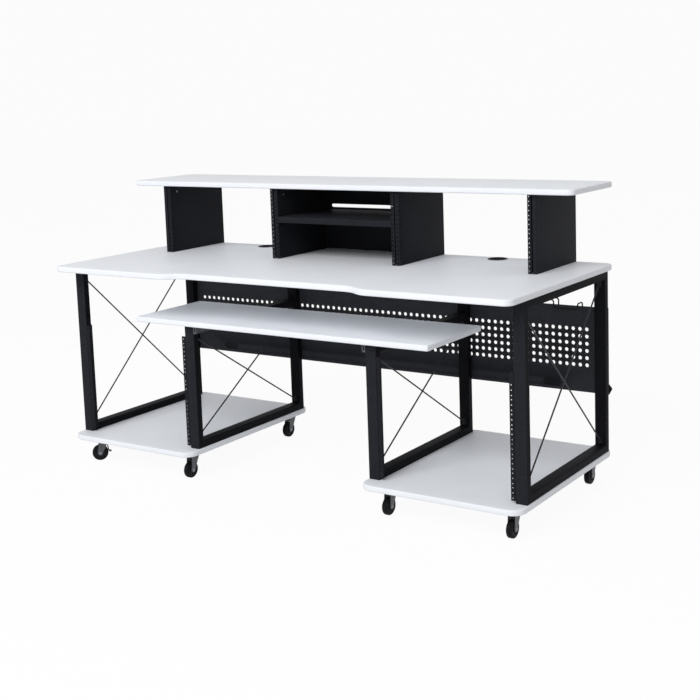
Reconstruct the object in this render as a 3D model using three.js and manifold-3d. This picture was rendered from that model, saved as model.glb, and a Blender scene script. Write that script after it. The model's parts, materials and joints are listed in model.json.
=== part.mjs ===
// Studio desk on casters: a wide board on four steel side frames, with a raised shelf over
// three equipment bays, a sliding keyboard tray, two rack pedestals, a perforated modesty
// panel and eight swivel casters.
//
// Millimetres. X runs along the desk, Y from the front edge to the back, Z up from the floor.

import * as THREE from 'three';
import { mergeGeometries, mergeVertices } from 'three/addons/utils/BufferGeometryUtils.js';
import Module from 'manifold-3d';

const wasm = await Module();
wasm.setup();

// Whole desk
const deskWidth = 1829;
const deskDepth = 762;
const deskThickness = 20;
const deskCornerRadius = 32;
const boardThickness = 19;
const boardEdgeRound = 3;
const seatGap = 0.3;
const overrun = 5;

// Front recess of the desktop, a shallow bay between two wings
const recessDepth = 38;
const recessFlatHalf = 317;
const recessBlend = 115;

// Hutch: four uprights, a raised shelf, a middle shelf and a back panel
const hutchHeight = 254;
const topShelfDepth = 330;
const topShelfCornerRadius = 25;
const uprightWidth = 32;
const uprightDepth = 305;
const uprightWall = 1.5;
const uprightBackInset = 5;
const hutchBayWidth = 478;
const middleShelfClearBelow = 131;
const middleShelfLip = 21;
const middleShelfRearLip = 14;
const hutchSheet = 1.5;
const backPanelInset = 4;
const backSlotLift = 7;
const backSlotHeight = 12;
const backSlotMargin = 28;

// Cable grommets in the desktop
const grommetBore = 60;
const grommetFlange = 70;
const grommetFlangeHeight = 2;
const grommetWall = 2.5;
const grommetFromBack = 43;
const grommetFromMiddle = 503;

// Pedestals: a board on casters under each end, and a side frame on each of its long edges
const casterHeight = 95;
const pedestalWidth = 565;
const pedestalDepth = 711;
const pedestalBackInset = 13;
const pedestalCornerRadius = 45;
const frameHeight = 609;
const innerFrameHeight = 435;
const frameDepth = 617;
const frameBackInset = 33;
const frameSideInset = 4;
const tubeWidth = 40;
const tubeDepth = 25;
const tubeCornerRound = 2;

// Crossed rods that brace each side frame
const rodDiameter = 6;
const rodTabLength = 26;
const rodTabWidth = 14;
const rodTabThickness = 3;
const rodTabLift = 3;

// Rack rails on the front posts, with the hole spacing of standard equipment racks
const rackRailFace = 14;
const rackRailSide = 26;
const rackRailWall = 2;
const rackRailLift = 8;
const rackRailTopSetback = 38;
const rackHoleSize = 6;
const rackUnit = 44.45;
const rackHoleOffset = 15.875;
const rackFirstHole = 8;

// Keyboard tray on two full-extension slides; its ends stand out over the inner side frames
const trayOverhang = 203.5;
const trayDepth = 343;
const trayThickness = 19;
const trayCornerRadius = 5;
const trayFrontSetback = 74;
const trayRunningGap = 3;
const slideLength = 300;
const slideHeight = 26;
const slideDepth = 10;
const slideWall = 1.2;
const slideRunningGap = 0.5;
const slideFlange = 24;

// Perforated modesty panel behind the rear posts
const panelHeight = 295;
const panelLift = 191;
const panelSheet = 2;
const hemDepth = 32;
const hemRise = 15;
const hemHeight = 36;
const hemGap = 2;
const hemRootLift = 3.2;
const hemFoldSetback = 3.7;
const hemFoldLift = 0.5;
const holeSize = 13;
const holeSides = 4;
const holePitch = 24.5;
const holeEndMargin = 70;
const holeRows = 6;
const holeRowsLift = 88;
const padWidth = 66;
const padHeight = 28;
const padLift = 13;
const padFromEnd = 206.5;
const padPress = 1.2;

// Wire cable rail hung over the top edge of the panel, one at each end
const wireDiameter = 5;
const wireRailLength = 110;
const wireRailSpread = 40;
const wireRailRise = 15;
const wireRunDrop = 14;
const wireTailDrop = 28;
const wireBendRadius = 9;
const wireRailFromEnd = 305.5;
const wireHookSpacing = 87;
const wireHookRise = 7;

// Casters
const wheelRadius = 29;
const wheelWidth = 19;
const wheelTreadRound = 4;
const wheelHubWidth = 21.4;
const axleRadius = 4;
const axleRunningGap = 0.3;
const axleHead = 1.5;
const forkSheet = 2;
const forkSideGap = 0.3;
const forkCrownThickness = 2.5;
const forkCrownLength = 38;
const forkShoulder = 9.5;
const forkEyeRadius = 9;
const kingpinRadius = 5;
const kingpinRunningGap = 0.7;
const kingpinHeadRadius = 8;
const kingpinHeadHeight = 2.5;
const racewayRadius = 18;
const racewayHeight = 7;
const casterPlateSize = 50;
const casterPlateThickness = 2.5;
const casterTrail = 16;
const casterSideInset = 64;
const casterFrontInset = 94;
const casterBackInset = 44;

// Brake pedal of the locking caster, which hangs from a pin across its fork
const pedalWidth = 18;
const pedalThickness = 3;
const pedalPinRadius = 2;
const pedalPinBack = 10;
const pedalPinBelowCrown = 16;
const pedalDrop = 36;
const pedalReach = 6;
const pedalToe = 7;

// Facets on round forms
const cornerFacets = 4;
const edgeFacets = 1;
const wheelFacets = 16;
const pinFacets = 8;
const rodFacets = 6;
const bendFacets = 3;
const grommetFacets = 16;

// Swivel angles of the casters at rest, in degrees, as the desk was left standing
const swivelStraight = 0;
const swivelTurned = -45;

// Finishes
const whiteLaminate = { color: 0xe9e9ee, roughness: 0.45, metalness: 0 };
const blackPowderCoat = { color: 0x1b1c1f, roughness: 0.55, metalness: 0.2 };
const zincPlate = { color: 0xb4b7ba, roughness: 0.35, metalness: 0.9 };
const greyFork = { color: 0x55585c, roughness: 0.45, metalness: 0.6 };
const blackRubber = { color: 0x101012, roughness: 0.7, metalness: 0 };
const blackPlastic = { color: 0x161618, roughness: 0.5, metalness: 0 };

// Heights and edges that follow from the sizes above
const pedestalTop = casterHeight + boardThickness;
const deskUnderside = pedestalTop + frameHeight;
const deskTop = deskUnderside + deskThickness;
const topShelfUnderside = deskTop + hutchHeight;
const deskSide = deskWidth / 2;
const deskBack = deskDepth / 2;
const deskFront = -deskBack;
const pedestalOuter = deskSide;
const pedestalInner = deskSide - pedestalWidth;
const pedestalBack = deskBack - pedestalBackInset;
const pedestalFront = pedestalBack - pedestalDepth;
const frameBack = pedestalBack - frameBackInset;
const frameFront = frameBack - frameDepth;
const outerFrameMiddle = pedestalOuter - frameSideInset - tubeWidth / 2;
const innerFrameMiddle = pedestalInner + frameSideInset + tubeWidth / 2;
const innerFrameTop = pedestalTop + innerFrameHeight;
const rackRailLength = innerFrameHeight - rackRailLift - rackRailTopSetback;
const trayHalf = innerFrameMiddle + tubeWidth / 2 + trayOverhang;
const trayUnderside = innerFrameTop + trayRunningGap;
const trayFront = deskFront + trayFrontSetback;
const uprightBack = deskBack - uprightBackInset;
const uprightFront = uprightBack - uprightDepth;

const sides = [
  [-1, 'left'],
  [1, 'right'],
];
const group = new THREE.Group();

function addMesh(parent, name, geometry, finish) {
  const mesh = new THREE.Mesh(geometry, new THREE.MeshStandardMaterial(finish));
  mesh.name = name;
  parent.add(mesh);
  return mesh;
}

// Solids for cutting and joining

function weld(geometry) {
  const bare = geometry.clone();
  bare.deleteAttribute('normal');
  bare.deleteAttribute('uv');
  return mergeVertices(bare);
}

function toSolid(geometry) {
  const welded = weld(geometry);
  return new wasm.Manifold(new wasm.Mesh({
    numProp: 3,
    vertProperties: new Float32Array(welded.getAttribute('position').array),
    triVerts: new Uint32Array(welded.getIndex().array),
  }));
}

function toGeometry(solid) {
  const mesh = solid.getMesh();
  const geometry = new THREE.BufferGeometry();
  geometry.setAttribute('position', new THREE.BufferAttribute(mesh.vertProperties, mesh.numProp));
  geometry.setIndex(new THREE.BufferAttribute(mesh.triVerts, 1));
  geometry.computeVertexNormals();
  return geometry;
}

function join(geometries) {
  let solid = toSolid(geometries[0]);
  for (const geometry of geometries.slice(1)) {
    solid = solid.add(toSolid(geometry));
  }
  return toGeometry(solid);
}

function cut(geometry, tools) {
  let solid = toSolid(geometry);
  for (const tool of tools) {
    solid = solid.subtract(toSolid(tool));
  }
  return toGeometry(solid);
}

// Blocks and extrusions, given by their low and high faces

function block(low, high) {
  const size = high.map((value, axis) => value - low[axis]);
  const geometry = new THREE.BoxGeometry(...size);
  return geometry.translate(...low.map((value, axis) => value + size[axis] / 2));
}

function extrudeUp(shape, low, high, round = 0) {
  const geometry = new THREE.ExtrudeGeometry(shape, {
    depth: high - low - 2 * round,
    curveSegments: cornerFacets,
    bevelEnabled: round > 0,
    bevelSize: round,
    bevelThickness: round,
    bevelOffset: -round,
    bevelSegments: edgeFacets,
  });
  return geometry.translate(0, 0, low + round);
}

// The shape is drawn in Y and Z and grows along X
function extrudeAlongX(shape, low, high, round = 0) {
  const turn = new THREE.Matrix4().makeBasis(
    new THREE.Vector3(0, 1, 0),
    new THREE.Vector3(0, 0, 1),
    new THREE.Vector3(1, 0, 0),
  );
  return extrudeUp(shape, low, high, round).applyMatrix4(turn);
}

function polygon(points) {
  return new THREE.Shape(points.map(([a, b]) => new THREE.Vector2(a, b)));
}

function rectanglePath(PathType, left, right, bottom, top) {
  const path = new PathType();
  path.moveTo(left, bottom);
  path.lineTo(right, bottom);
  path.lineTo(right, top);
  path.lineTo(left, top);
  path.closePath();
  return path;
}

function roundedRectangle(left, right, bottom, top, radius) {
  const shape = new THREE.Shape();
  shape.moveTo(left + radius, bottom);
  shape.lineTo(right - radius, bottom);
  shape.absarc(right - radius, bottom + radius, radius, -Math.PI / 2, 0);
  shape.lineTo(right, top - radius);
  shape.absarc(right - radius, top - radius, radius, 0, Math.PI / 2);
  shape.lineTo(left + radius, top);
  shape.absarc(left + radius, top - radius, radius, Math.PI / 2, Math.PI);
  shape.lineTo(left, bottom + radius);
  shape.absarc(left + radius, bottom + radius, radius, Math.PI, 3 * Math.PI / 2);
  return shape;
}

function board(left, right, front, back, low, high, radius) {
  return extrudeUp(roundedRectangle(left, right, front, back, radius), low, high, boardEdgeRound);
}

function rodBetween(start, end, diameter, facets) {
  const from = new THREE.Vector3(...start);
  const along = new THREE.Vector3(...end).sub(from);
  const rod = new THREE.CylinderGeometry(diameter / 2, diameter / 2, along.length(), facets);
  rod.applyQuaternion(new THREE.Quaternion().setFromUnitVectors(
    new THREE.Vector3(0, 1, 0),
    along.clone().normalize(),
  ));
  const middle = from.addScaledVector(along, 1 / 2);
  return rod.translate(middle.x, middle.y, middle.z);
}

// Desktop: the front edge runs back in a smooth S to the recess in front of the sitter

function desktop() {
  const radius = deskCornerRadius;
  const recessFront = deskFront + recessDepth;
  const wingStart = recessFlatHalf + recessBlend;
  const blendMiddle = recessFlatHalf + recessBlend / 2;
  const shape = new THREE.Shape();
  shape.moveTo(-deskSide + radius, deskFront);
  shape.lineTo(-wingStart, deskFront);
  shape.bezierCurveTo(-blendMiddle, deskFront, -blendMiddle, recessFront, -recessFlatHalf, recessFront);
  shape.lineTo(recessFlatHalf, recessFront);
  shape.bezierCurveTo(blendMiddle, recessFront, blendMiddle, deskFront, wingStart, deskFront);
  shape.lineTo(deskSide - radius, deskFront);
  shape.absarc(deskSide - radius, deskFront + radius, radius, -Math.PI / 2, 0);
  shape.lineTo(deskSide, deskBack - radius);
  shape.absarc(deskSide - radius, deskBack - radius, radius, 0, Math.PI / 2);
  shape.lineTo(-deskSide + radius, deskBack);
  shape.absarc(-deskSide + radius, deskBack - radius, radius, Math.PI / 2, Math.PI);
  shape.lineTo(-deskSide, deskFront + radius);
  shape.absarc(-deskSide + radius, deskFront + radius, radius, Math.PI, 3 * Math.PI / 2);
  const blank = extrudeUp(shape, deskUnderside, deskTop, boardEdgeRound);
  const bores = [-1, 1].map((side) => {
    const length = deskThickness + 2 * overrun;
    const bore = new THREE.CylinderGeometry(grommetBore / 2, grommetBore / 2, length, grommetFacets);
    bore.rotateX(Math.PI / 2);
    return bore.translate(side * grommetFromMiddle, deskBack - grommetFromBack, deskTop - deskThickness / 2);
  });
  return cut(blank, bores);
}

addMesh(group, 'desktop', desktop(), whiteLaminate);

// Grommet: an open sleeve with a flange that lies on the desktop

function grommet() {
  const outer = grommetBore / 2 - seatGap;
  const inner = outer - grommetWall;
  const flange = grommetFlange / 2;
  const profile = [
    [inner, -deskThickness],
    [outer, -deskThickness],
    [outer, seatGap],
    [flange, seatGap],
    [flange - grommetFlangeHeight / 2, grommetFlangeHeight],
    [inner, grommetFlangeHeight],
    [inner, -deskThickness],
  ];
  const ring = new THREE.LatheGeometry(profile.map(([r, z]) => new THREE.Vector2(r, z)), grommetFacets);
  return ring.rotateX(Math.PI / 2);
}

for (const [side, word] of sides) {
  const mesh = addMesh(group, `grommet_${word}`, grommet(), blackPlastic);
  mesh.position.set(side * grommetFromMiddle, deskBack - grommetFromBack, deskTop);
}

// Hutch

function rackHoleHeights(length) {
  const heights = [];
  for (let base = rackFirstHole; base < length; base += rackUnit) {
    for (const step of [0, rackHoleOffset, 2 * rackHoleOffset]) {
      if (base + step < length - rackFirstHole / 2) {
        heights.push(base + step);
      }
    }
  }
  return heights;
}

// Box-section upright of folded sheet
function upright() {
  const half = uprightWidth / 2;
  const shape = rectanglePath(THREE.Shape, -half, half, 0, uprightDepth);
  shape.holes.push(rectanglePath(
    THREE.Path,
    -half + uprightWall,
    half - uprightWall,
    uprightWall,
    uprightDepth - uprightWall,
  ));
  return extrudeUp(shape, seatGap, hutchHeight - seatGap);
}

const uprightBayShares = [
  ['hutch_upright_left_outer', -1.5],
  ['hutch_upright_left_inner', -0.5],
  ['hutch_upright_right_inner', 0.5],
  ['hutch_upright_right_outer', 1.5],
];
for (const [name, bayShare] of uprightBayShares) {
  const mesh = addMesh(group, name, upright(), blackPowderCoat);
  mesh.position.set(bayShare * (hutchBayWidth + uprightWidth), uprightFront, deskTop);
}

const topShelf = board(
  -deskSide,
  deskSide,
  deskBack - topShelfDepth,
  deskBack,
  topShelfUnderside,
  topShelfUnderside + boardThickness,
  topShelfCornerRadius,
);
addMesh(group, 'top_shelf', topShelf, whiteLaminate);

const backPanelFront = uprightBack - backPanelInset - hutchSheet;
const middleShelfTop = deskTop + middleShelfClearBelow + middleShelfLip;

// Folded tray between the middle uprights, with a lip turned down at the front and the rear
function middleShelf() {
  const half = hutchBayWidth / 2 - seatGap;
  const front = uprightFront;
  const back = backPanelFront - seatGap;
  const top = middleShelfTop;
  const shape = polygon([
    [front, top - middleShelfLip],
    [front + hutchSheet, top - middleShelfLip],
    [front + hutchSheet, top - hutchSheet],
    [back - hutchSheet, top - hutchSheet],
    [back - hutchSheet, top - middleShelfRearLip],
    [back, top - middleShelfRearLip],
    [back, top],
    [front, top],
  ]);
  return extrudeAlongX(shape, -half, half);
}

addMesh(group, 'hutch_middle_shelf', middleShelf(), blackPowderCoat);

// Back of the middle bay, with a cable slot just above the shelf
function hutchBackPanel() {
  const half = hutchBayWidth / 2 - seatGap;
  const sheet = block(
    [-half, backPanelFront, deskTop + seatGap],
    [half, backPanelFront + hutchSheet, topShelfUnderside - seatGap],
  );
  const slotLow = middleShelfTop + backSlotLift;
  const slot = block(
    [-half + backSlotMargin, backPanelFront - overrun, slotLow],
    [half - backSlotMargin, backPanelFront + hutchSheet + overrun, slotLow + backSlotHeight],
  );
  return cut(sheet, [slot]);
}

addMesh(group, 'hutch_back_panel', hutchBackPanel(), blackPowderCoat);

// Pedestals

// Closed loop of tube; the rear post runs on up to the desktop where the loop is lower
function sideFrame(topOfLoop) {
  const low = pedestalTop + seatGap;
  const topOfPost = deskUnderside - seatGap;
  const corners = [
    [frameFront, low],
    [frameBack, low],
    [frameBack, topOfPost],
  ];
  if (topOfLoop < topOfPost) {
    corners.push([frameBack - tubeDepth, topOfPost], [frameBack - tubeDepth, topOfLoop]);
  }
  corners.push([frameFront, topOfLoop]);
  const shape = polygon(corners);
  shape.holes.push(rectanglePath(
    THREE.Path,
    frameFront + tubeDepth,
    frameBack - tubeDepth,
    low + tubeDepth,
    topOfLoop - tubeDepth,
  ));
  return extrudeAlongX(shape, -tubeWidth / 2, tubeWidth / 2, tubeCornerRound);
}

// Two crossed rods, flattened at their ends into tabs that are screwed to the posts
function crossBrace(topOfLoop) {
  const front = frameFront + tubeDepth + seatGap;
  const back = frameBack - tubeDepth - seatGap;
  const low = pedestalTop + seatGap + tubeDepth + rodTabLift;
  const high = topOfLoop - tubeDepth - rodTabLift;
  const halfTab = rodTabWidth / 2;
  const parts = [];
  for (const bottom of [low, high - rodTabLength]) {
    parts.push(block([-halfTab, front, bottom], [halfTab, front + rodTabThickness, bottom + rodTabLength]));
    parts.push(block([-halfTab, back - rodTabThickness, bottom], [halfTab, back, bottom + rodTabLength]));
  }
  const frontEnd = front + rodTabThickness;
  const backEnd = back - rodTabThickness;
  const lowEnd = low + rodTabLength / 2;
  const highEnd = high - rodTabLength / 2;
  parts.push(rodBetween([0, frontEnd, lowEnd], [0, backEnd, highEnd], rodDiameter, rodFacets));
  parts.push(rodBetween([0, frontEnd, highEnd], [0, backEnd, lowEnd], rodDiameter, rodFacets));
  return join(parts);
}

// Angle strip on the rack side of a front post, with a face full of mounting holes
function rackRail(direction) {
  const near = direction * seatGap;
  const far = direction * (seatGap + rackRailFace);
  const web = direction * (seatGap + rackRailWall);
  const points = [
    [near, 0],
    [far, 0],
    [far, rackRailWall],
    [web, rackRailWall],
    [web, rackRailSide],
    [near, rackRailSide],
  ];
  const strip = extrudeUp(polygon(direction > 0 ? points : points.reverse()), 0, rackRailLength);
  const middle = (web + far) / 2;
  const half = rackHoleSize / 2;
  const holes = rackHoleHeights(rackRailLength).map((height) => block(
    [middle - half, -overrun, height - half],
    [middle + half, rackRailWall + overrun, height + half],
  ));
  return cut(strip, holes);
}

for (const [side, word] of sides) {
  const shelf = board(
    -pedestalWidth / 2,
    pedestalWidth / 2,
    pedestalFront,
    pedestalBack,
    casterHeight,
    pedestalTop,
    pedestalCornerRadius,
  );
  const shelfMesh = addMesh(group, `bottom_shelf_${word}`, shelf, whiteLaminate);
  shelfMesh.position.x = side * (pedestalOuter + pedestalInner) / 2;

  const frames = [
    ['outer', side * outerFrameMiddle, deskUnderside - seatGap],
    ['inner', side * innerFrameMiddle, innerFrameTop],
  ];
  for (const [column, x, topOfLoop] of frames) {
    const frame = addMesh(group, `side_frame_${word}_${column}`, sideFrame(topOfLoop), blackPowderCoat);
    frame.position.x = x;
    const brace = addMesh(group, `cross_brace_${word}_${column}`, crossBrace(topOfLoop), blackPowderCoat);
    brace.position.x = x;
  }

  const railLow = pedestalTop + rackRailLift;
  const outerRail = addMesh(group, `rack_rail_${word}_outer`, rackRail(-side), blackPowderCoat);
  outerRail.position.set(side * (outerFrameMiddle - tubeWidth / 2), frameFront, railLow);
  const innerRail = addMesh(group, `rack_rail_${word}_inner`, rackRail(side), blackPowderCoat);
  innerRail.position.set(side * (innerFrameMiddle + tubeWidth / 2), frameFront, railLow);
}

// Keyboard tray and its slides, which run on the knee side of the inner frames

const tray = board(
  -trayHalf,
  trayHalf,
  trayFront,
  trayFront + trayDepth,
  trayUnderside,
  trayUnderside + trayThickness,
  trayCornerRadius,
);
addMesh(group, 'keyboard_tray', tray, whiteLaminate);

// Channel section drawn with its web at zero and its open side towards the direction
function channelShape(direction, near, far, halfHeight, webAtNear) {
  const web = webAtNear ? near : far;
  const open = webAtNear ? far : near;
  const inside = webAtNear ? near + slideWall : far - slideWall;
  const points = [
    [web, -halfHeight],
    [open, -halfHeight],
    [open, -halfHeight + slideWall],
    [inside, -halfHeight + slideWall],
    [inside, halfHeight - slideWall],
    [open, halfHeight - slideWall],
    [open, halfHeight],
    [web, halfHeight],
  ];
  const drawn = polygon(points.map(([x, z]) => [direction * x, z]));
  if (THREE.ShapeUtils.isClockWise(drawn.getPoints())) {
    return polygon(points.map(([x, z]) => [direction * x, z]).reverse());
  }
  return drawn;
}

// The shape is drawn in X and Z and grows along Y
function extrudeAlongY(shape, low, high) {
  return extrudeUp(shape, -high, -low).rotateX(Math.PI / 2);
}

function slideMember(direction, stage) {
  const step = slideWall + slideRunningGap;
  const near = seatGap + stage * step;
  const far = seatGap + slideDepth - (stage === 1 ? step : 0);
  const halfHeight = slideHeight / 2 - stage * step;
  const shape = channelShape(direction, near, far, halfHeight, stage < 2);
  return extrudeAlongY(shape, 0, slideLength);
}

// The inner member carries an angle that is screwed under the tray
function innerSlideWithAngle(direction, railMiddle) {
  const member = slideMember(direction, 2);
  const face = seatGap + slideDepth;
  const top = trayUnderside - seatGap - railMiddle;
  const halfHeight = slideHeight / 2 - 2 * (slideWall + slideRunningGap);
  const points = [
    [face - slideWall, -halfHeight],
    [face + slideWall, -halfHeight],
    [face + slideWall, top - slideWall],
    [face + slideFlange, top - slideWall],
    [face + slideFlange, top],
    [face, top],
    [face, halfHeight],
    [face - slideWall, halfHeight],
  ];
  const drawn = points.map(([x, z]) => [direction * x, z]);
  const angle = extrudeAlongY(polygon(direction > 0 ? drawn : drawn.reverse()), 0, slideLength);
  return join([member, angle]);
}

const slideMiddleHeight = innerFrameTop - tubeDepth / 2;
for (const [side, word] of sides) {
  const place = [side * (innerFrameMiddle - tubeWidth / 2), frameFront, slideMiddleHeight];
  const fixed = addMesh(group, `slide_fixed_${word}`, slideMember(-side, 0), zincPlate);
  fixed.position.set(...place);
  const middle = addMesh(group, `slide_middle_${word}`, slideMember(-side, 1), zincPlate);
  middle.position.set(...place);
  const inner = innerSlideWithAngle(-side, slideMiddleHeight);
  const innerMesh = addMesh(group, `slide_inner_${word}`, inner, zincPlate);
  innerMesh.position.set(...place);
}

// Modesty panel: one folded sheet with a field of holes, a closed hem below and a pad pressed
// back into the sheet near each lower corner

const panelFront = frameBack + seatGap;
const panelLow = pedestalTop + panelLift;
const panelHalf = deskSide - frameSideInset;

function panelSection() {
  const front = panelFront;
  const sheet = panelSheet;
  const apex = front + hemDepth;
  return polygon([
    [front, panelLow],
    [apex, panelLow + hemRise],
    [front + sheet + hemGap + sheet, panelLow + hemHeight],
    [front + sheet + hemGap, panelLow + hemHeight - sheet],
    [apex - hemFoldSetback, panelLow + hemRise + hemFoldLift],
    [front + sheet, panelLow + hemRootLift],
    [front + sheet, panelLow + panelHeight],
    [front, panelLow + panelHeight],
  ]);
}

function holeField() {
  const half = holeSize / 2;
  const first = panelLow + holeRowsLift + half;
  const holeColumns = 1 + Math.floor(2 * (panelHalf - holeEndMargin) / holePitch);
  const tools = [];
  for (let column = 0; column < holeColumns; column += 1) {
    const x = (column - (holeColumns - 1) / 2) * holePitch;
    for (let row = 0; row < holeRows; row += 1) {
      const z = first + row * holePitch;
      const tool = new THREE.CylinderGeometry(half, half, panelSheet + 2 * overrun, holeSides);
      tools.push(tool.translate(x, panelFront + panelSheet / 2, z));
    }
  }
  return tools;
}

function oblong(width, height) {
  const radius = height / 2;
  const shape = new THREE.Shape();
  shape.moveTo(-width / 2 + radius, -radius);
  shape.lineTo(width / 2 - radius, -radius);
  shape.absarc(width / 2 - radius, 0, radius, -Math.PI / 2, Math.PI / 2);
  shape.lineTo(-width / 2 + radius, radius);
  shape.absarc(-width / 2 + radius, 0, radius, Math.PI / 2, 3 * Math.PI / 2);
  return shape;
}

// One solid for each pressed pad, between two depths and narrower by the margin all round
function pads(margin, front, back) {
  return [-1, 1].map((side) => {
    const outline = oblong(padWidth - 2 * margin, padHeight - 2 * margin);
    const pad = extrudeAlongY(outline, front, back);
    return pad.translate(side * (panelHalf - padFromEnd), 0, panelLow + padLift + padHeight / 2);
  });
}

function modestyPanel() {
  const back = panelFront + panelSheet;
  const folded = extrudeAlongX(panelSection(), -panelHalf, panelHalf);
  const raised = pads(0, back - panelSheet / 2, back + padPress);
  const sunk = pads(panelSheet, panelFront - overrun, panelFront + padPress);
  const pattern = mergeGeometries(sunk.concat(holeField()).map(weld));
  return cut(join([folded, ...raised]), [pattern]);
}

addMesh(group, 'modesty_panel', modestyPanel(), blackPowderCoat);

// Cable wires over the top of the panel

// A round wire through the points, with its corners rounded to the bend radius
function wireThrough(corners) {
  const path = roundedCorners(corners.map((corner) => new THREE.Vector3(...corner)));
  const last = path.length - 1;
  const rings = [];
  let normal = new THREE.Vector3(0, 1, 0);
  for (const [index, point] of path.entries()) {
    const before = path[Math.max(index - 1, 0)];
    const after = path[Math.min(index + 1, last)];
    const along = after.clone().sub(before).normalize();
    normal = normal.clone().addScaledVector(along, -normal.dot(along));
    if (normal.lengthSq() < Number.EPSILON) {
      normal.set(1, 0, 0);
    }
    normal.normalize();
    const binormal = along.clone().cross(normal);
    rings.push(ringAround(point, normal, binormal, wireDiameter / 2));
  }
  return tubeFromRings(rings);
}

function roundedCorners(corners) {
  const path = [corners[0]];
  for (let index = 1; index < corners.length - 1; index += 1) {
    const corner = corners[index];
    const towardsLast = corners[index - 1].clone().sub(corner).setLength(wireBendRadius).add(corner);
    const towardsNext = corners[index + 1].clone().sub(corner).setLength(wireBendRadius).add(corner);
    const bend = new THREE.QuadraticBezierCurve3(towardsLast, corner, towardsNext);
    path.push(...bend.getPoints(bendFacets));
  }
  path.push(corners[corners.length - 1]);
  return path;
}

function ringAround(centre, normal, binormal, radius) {
  const ring = [];
  for (let step = 0; step < rodFacets; step += 1) {
    const angle = step / rodFacets * 2 * Math.PI;
    const point = centre.clone();
    point.addScaledVector(normal, Math.cos(angle) * radius);
    point.addScaledVector(binormal, Math.sin(angle) * radius);
    ring.push(point);
  }
  return ring;
}

function tubeFromRings(rings) {
  const count = rings[0].length;
  const index = [];
  for (let ring = 0; ring < rings.length - 1; ring += 1) {
    for (let step = 0; step < count; step += 1) {
      const a = ring * count + step;
      const b = ring * count + (step + 1) % count;
      index.push(a, b, a + count, b, b + count, a + count);
    }
  }
  const end = (rings.length - 1) * count;
  for (let step = 1; step < count - 1; step += 1) {
    index.push(0, step + 1, step);
    index.push(end, end + step, end + step + 1);
  }
  const geometry = new THREE.BufferGeometry().setFromPoints(rings.flat());
  geometry.setIndex(index);
  geometry.computeVertexNormals();
  return geometry;
}

// One bent wire: a long loop over the top of the panel, then along the front of the panel to
// a short hook that comes back over the top near its end
function cableRail(side) {
  const front = 0;
  const back = wireRailSpread;
  const inner = 0;
  const outer = side * wireRailLength;
  const hook = side * (wireRailLength + wireHookSpacing);
  return wireThrough([
    [outer, back, -wireTailDrop],
    [outer, back, wireRailRise],
    [inner, back, wireRailRise],
    [inner, front, wireRailRise],
    [outer, front, wireRailRise],
    [outer, front, -wireRunDrop],
    [hook, front, -wireRunDrop],
    [hook, front, wireHookRise],
    [hook, back, wireHookRise],
    [hook, back, -wireTailDrop],
  ]);
}

const wireFront = panelFront - seatGap - wireDiameter / 2;
const panelTop = panelLow + panelHeight;
for (const [side, word] of sides) {
  const rail = addMesh(group, `cable_rail_${word}`, cableRail(side), blackPowderCoat);
  rail.position.set(side * (panelHalf - wireRailFromEnd), wireFront, panelTop);
}

// Casters. Each is drawn with its swivel axis at zero, the underside of its board at zero
// height and its wheel trailing towards the front of the desk.

const axleHeight = wheelRadius - casterHeight;
const crownTop = -seatGap - casterPlateThickness - racewayHeight - seatGap;
const crownUnderside = crownTop - forkCrownThickness;
const forkInnerHalf = wheelHubWidth / 2 + forkSideGap;
const forkOuterHalf = forkInnerHalf + forkSheet;

// Mounting plate, bearing race and kingpin in one piece; the head of the pin holds the fork
function casterPlate() {
  const half = casterPlateSize / 2;
  const plateLow = -seatGap - casterPlateThickness;
  const plate = block([-half, -half, plateLow], [half, half, -seatGap]);
  const headTop = crownUnderside - axleRunningGap;
  const profile = [
    [0, headTop - kingpinHeadHeight],
    [kingpinHeadRadius, headTop - kingpinHeadHeight],
    [kingpinHeadRadius, headTop],
    [kingpinRadius, headTop],
    [kingpinRadius, crownTop + seatGap],
    [racewayRadius, crownTop + seatGap],
    [racewayRadius, plateLow + casterPlateThickness / 2],
    [0, plateLow + casterPlateThickness / 2],
  ];
  const pin = new THREE.LatheGeometry(profile.map(([r, z]) => new THREE.Vector2(r, z)), pinFacets);
  return join([plate, pin.rotateX(Math.PI / 2)]);
}

const pedalPinHeight = crownUnderside - pedalPinBelowCrown;

function pedalPin(radius, half) {
  return rodBetween(
    [-half, pedalPinBack, pedalPinHeight],
    [half, pedalPinBack, pedalPinHeight],
    2 * radius,
    pinFacets,
  );
}

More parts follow.
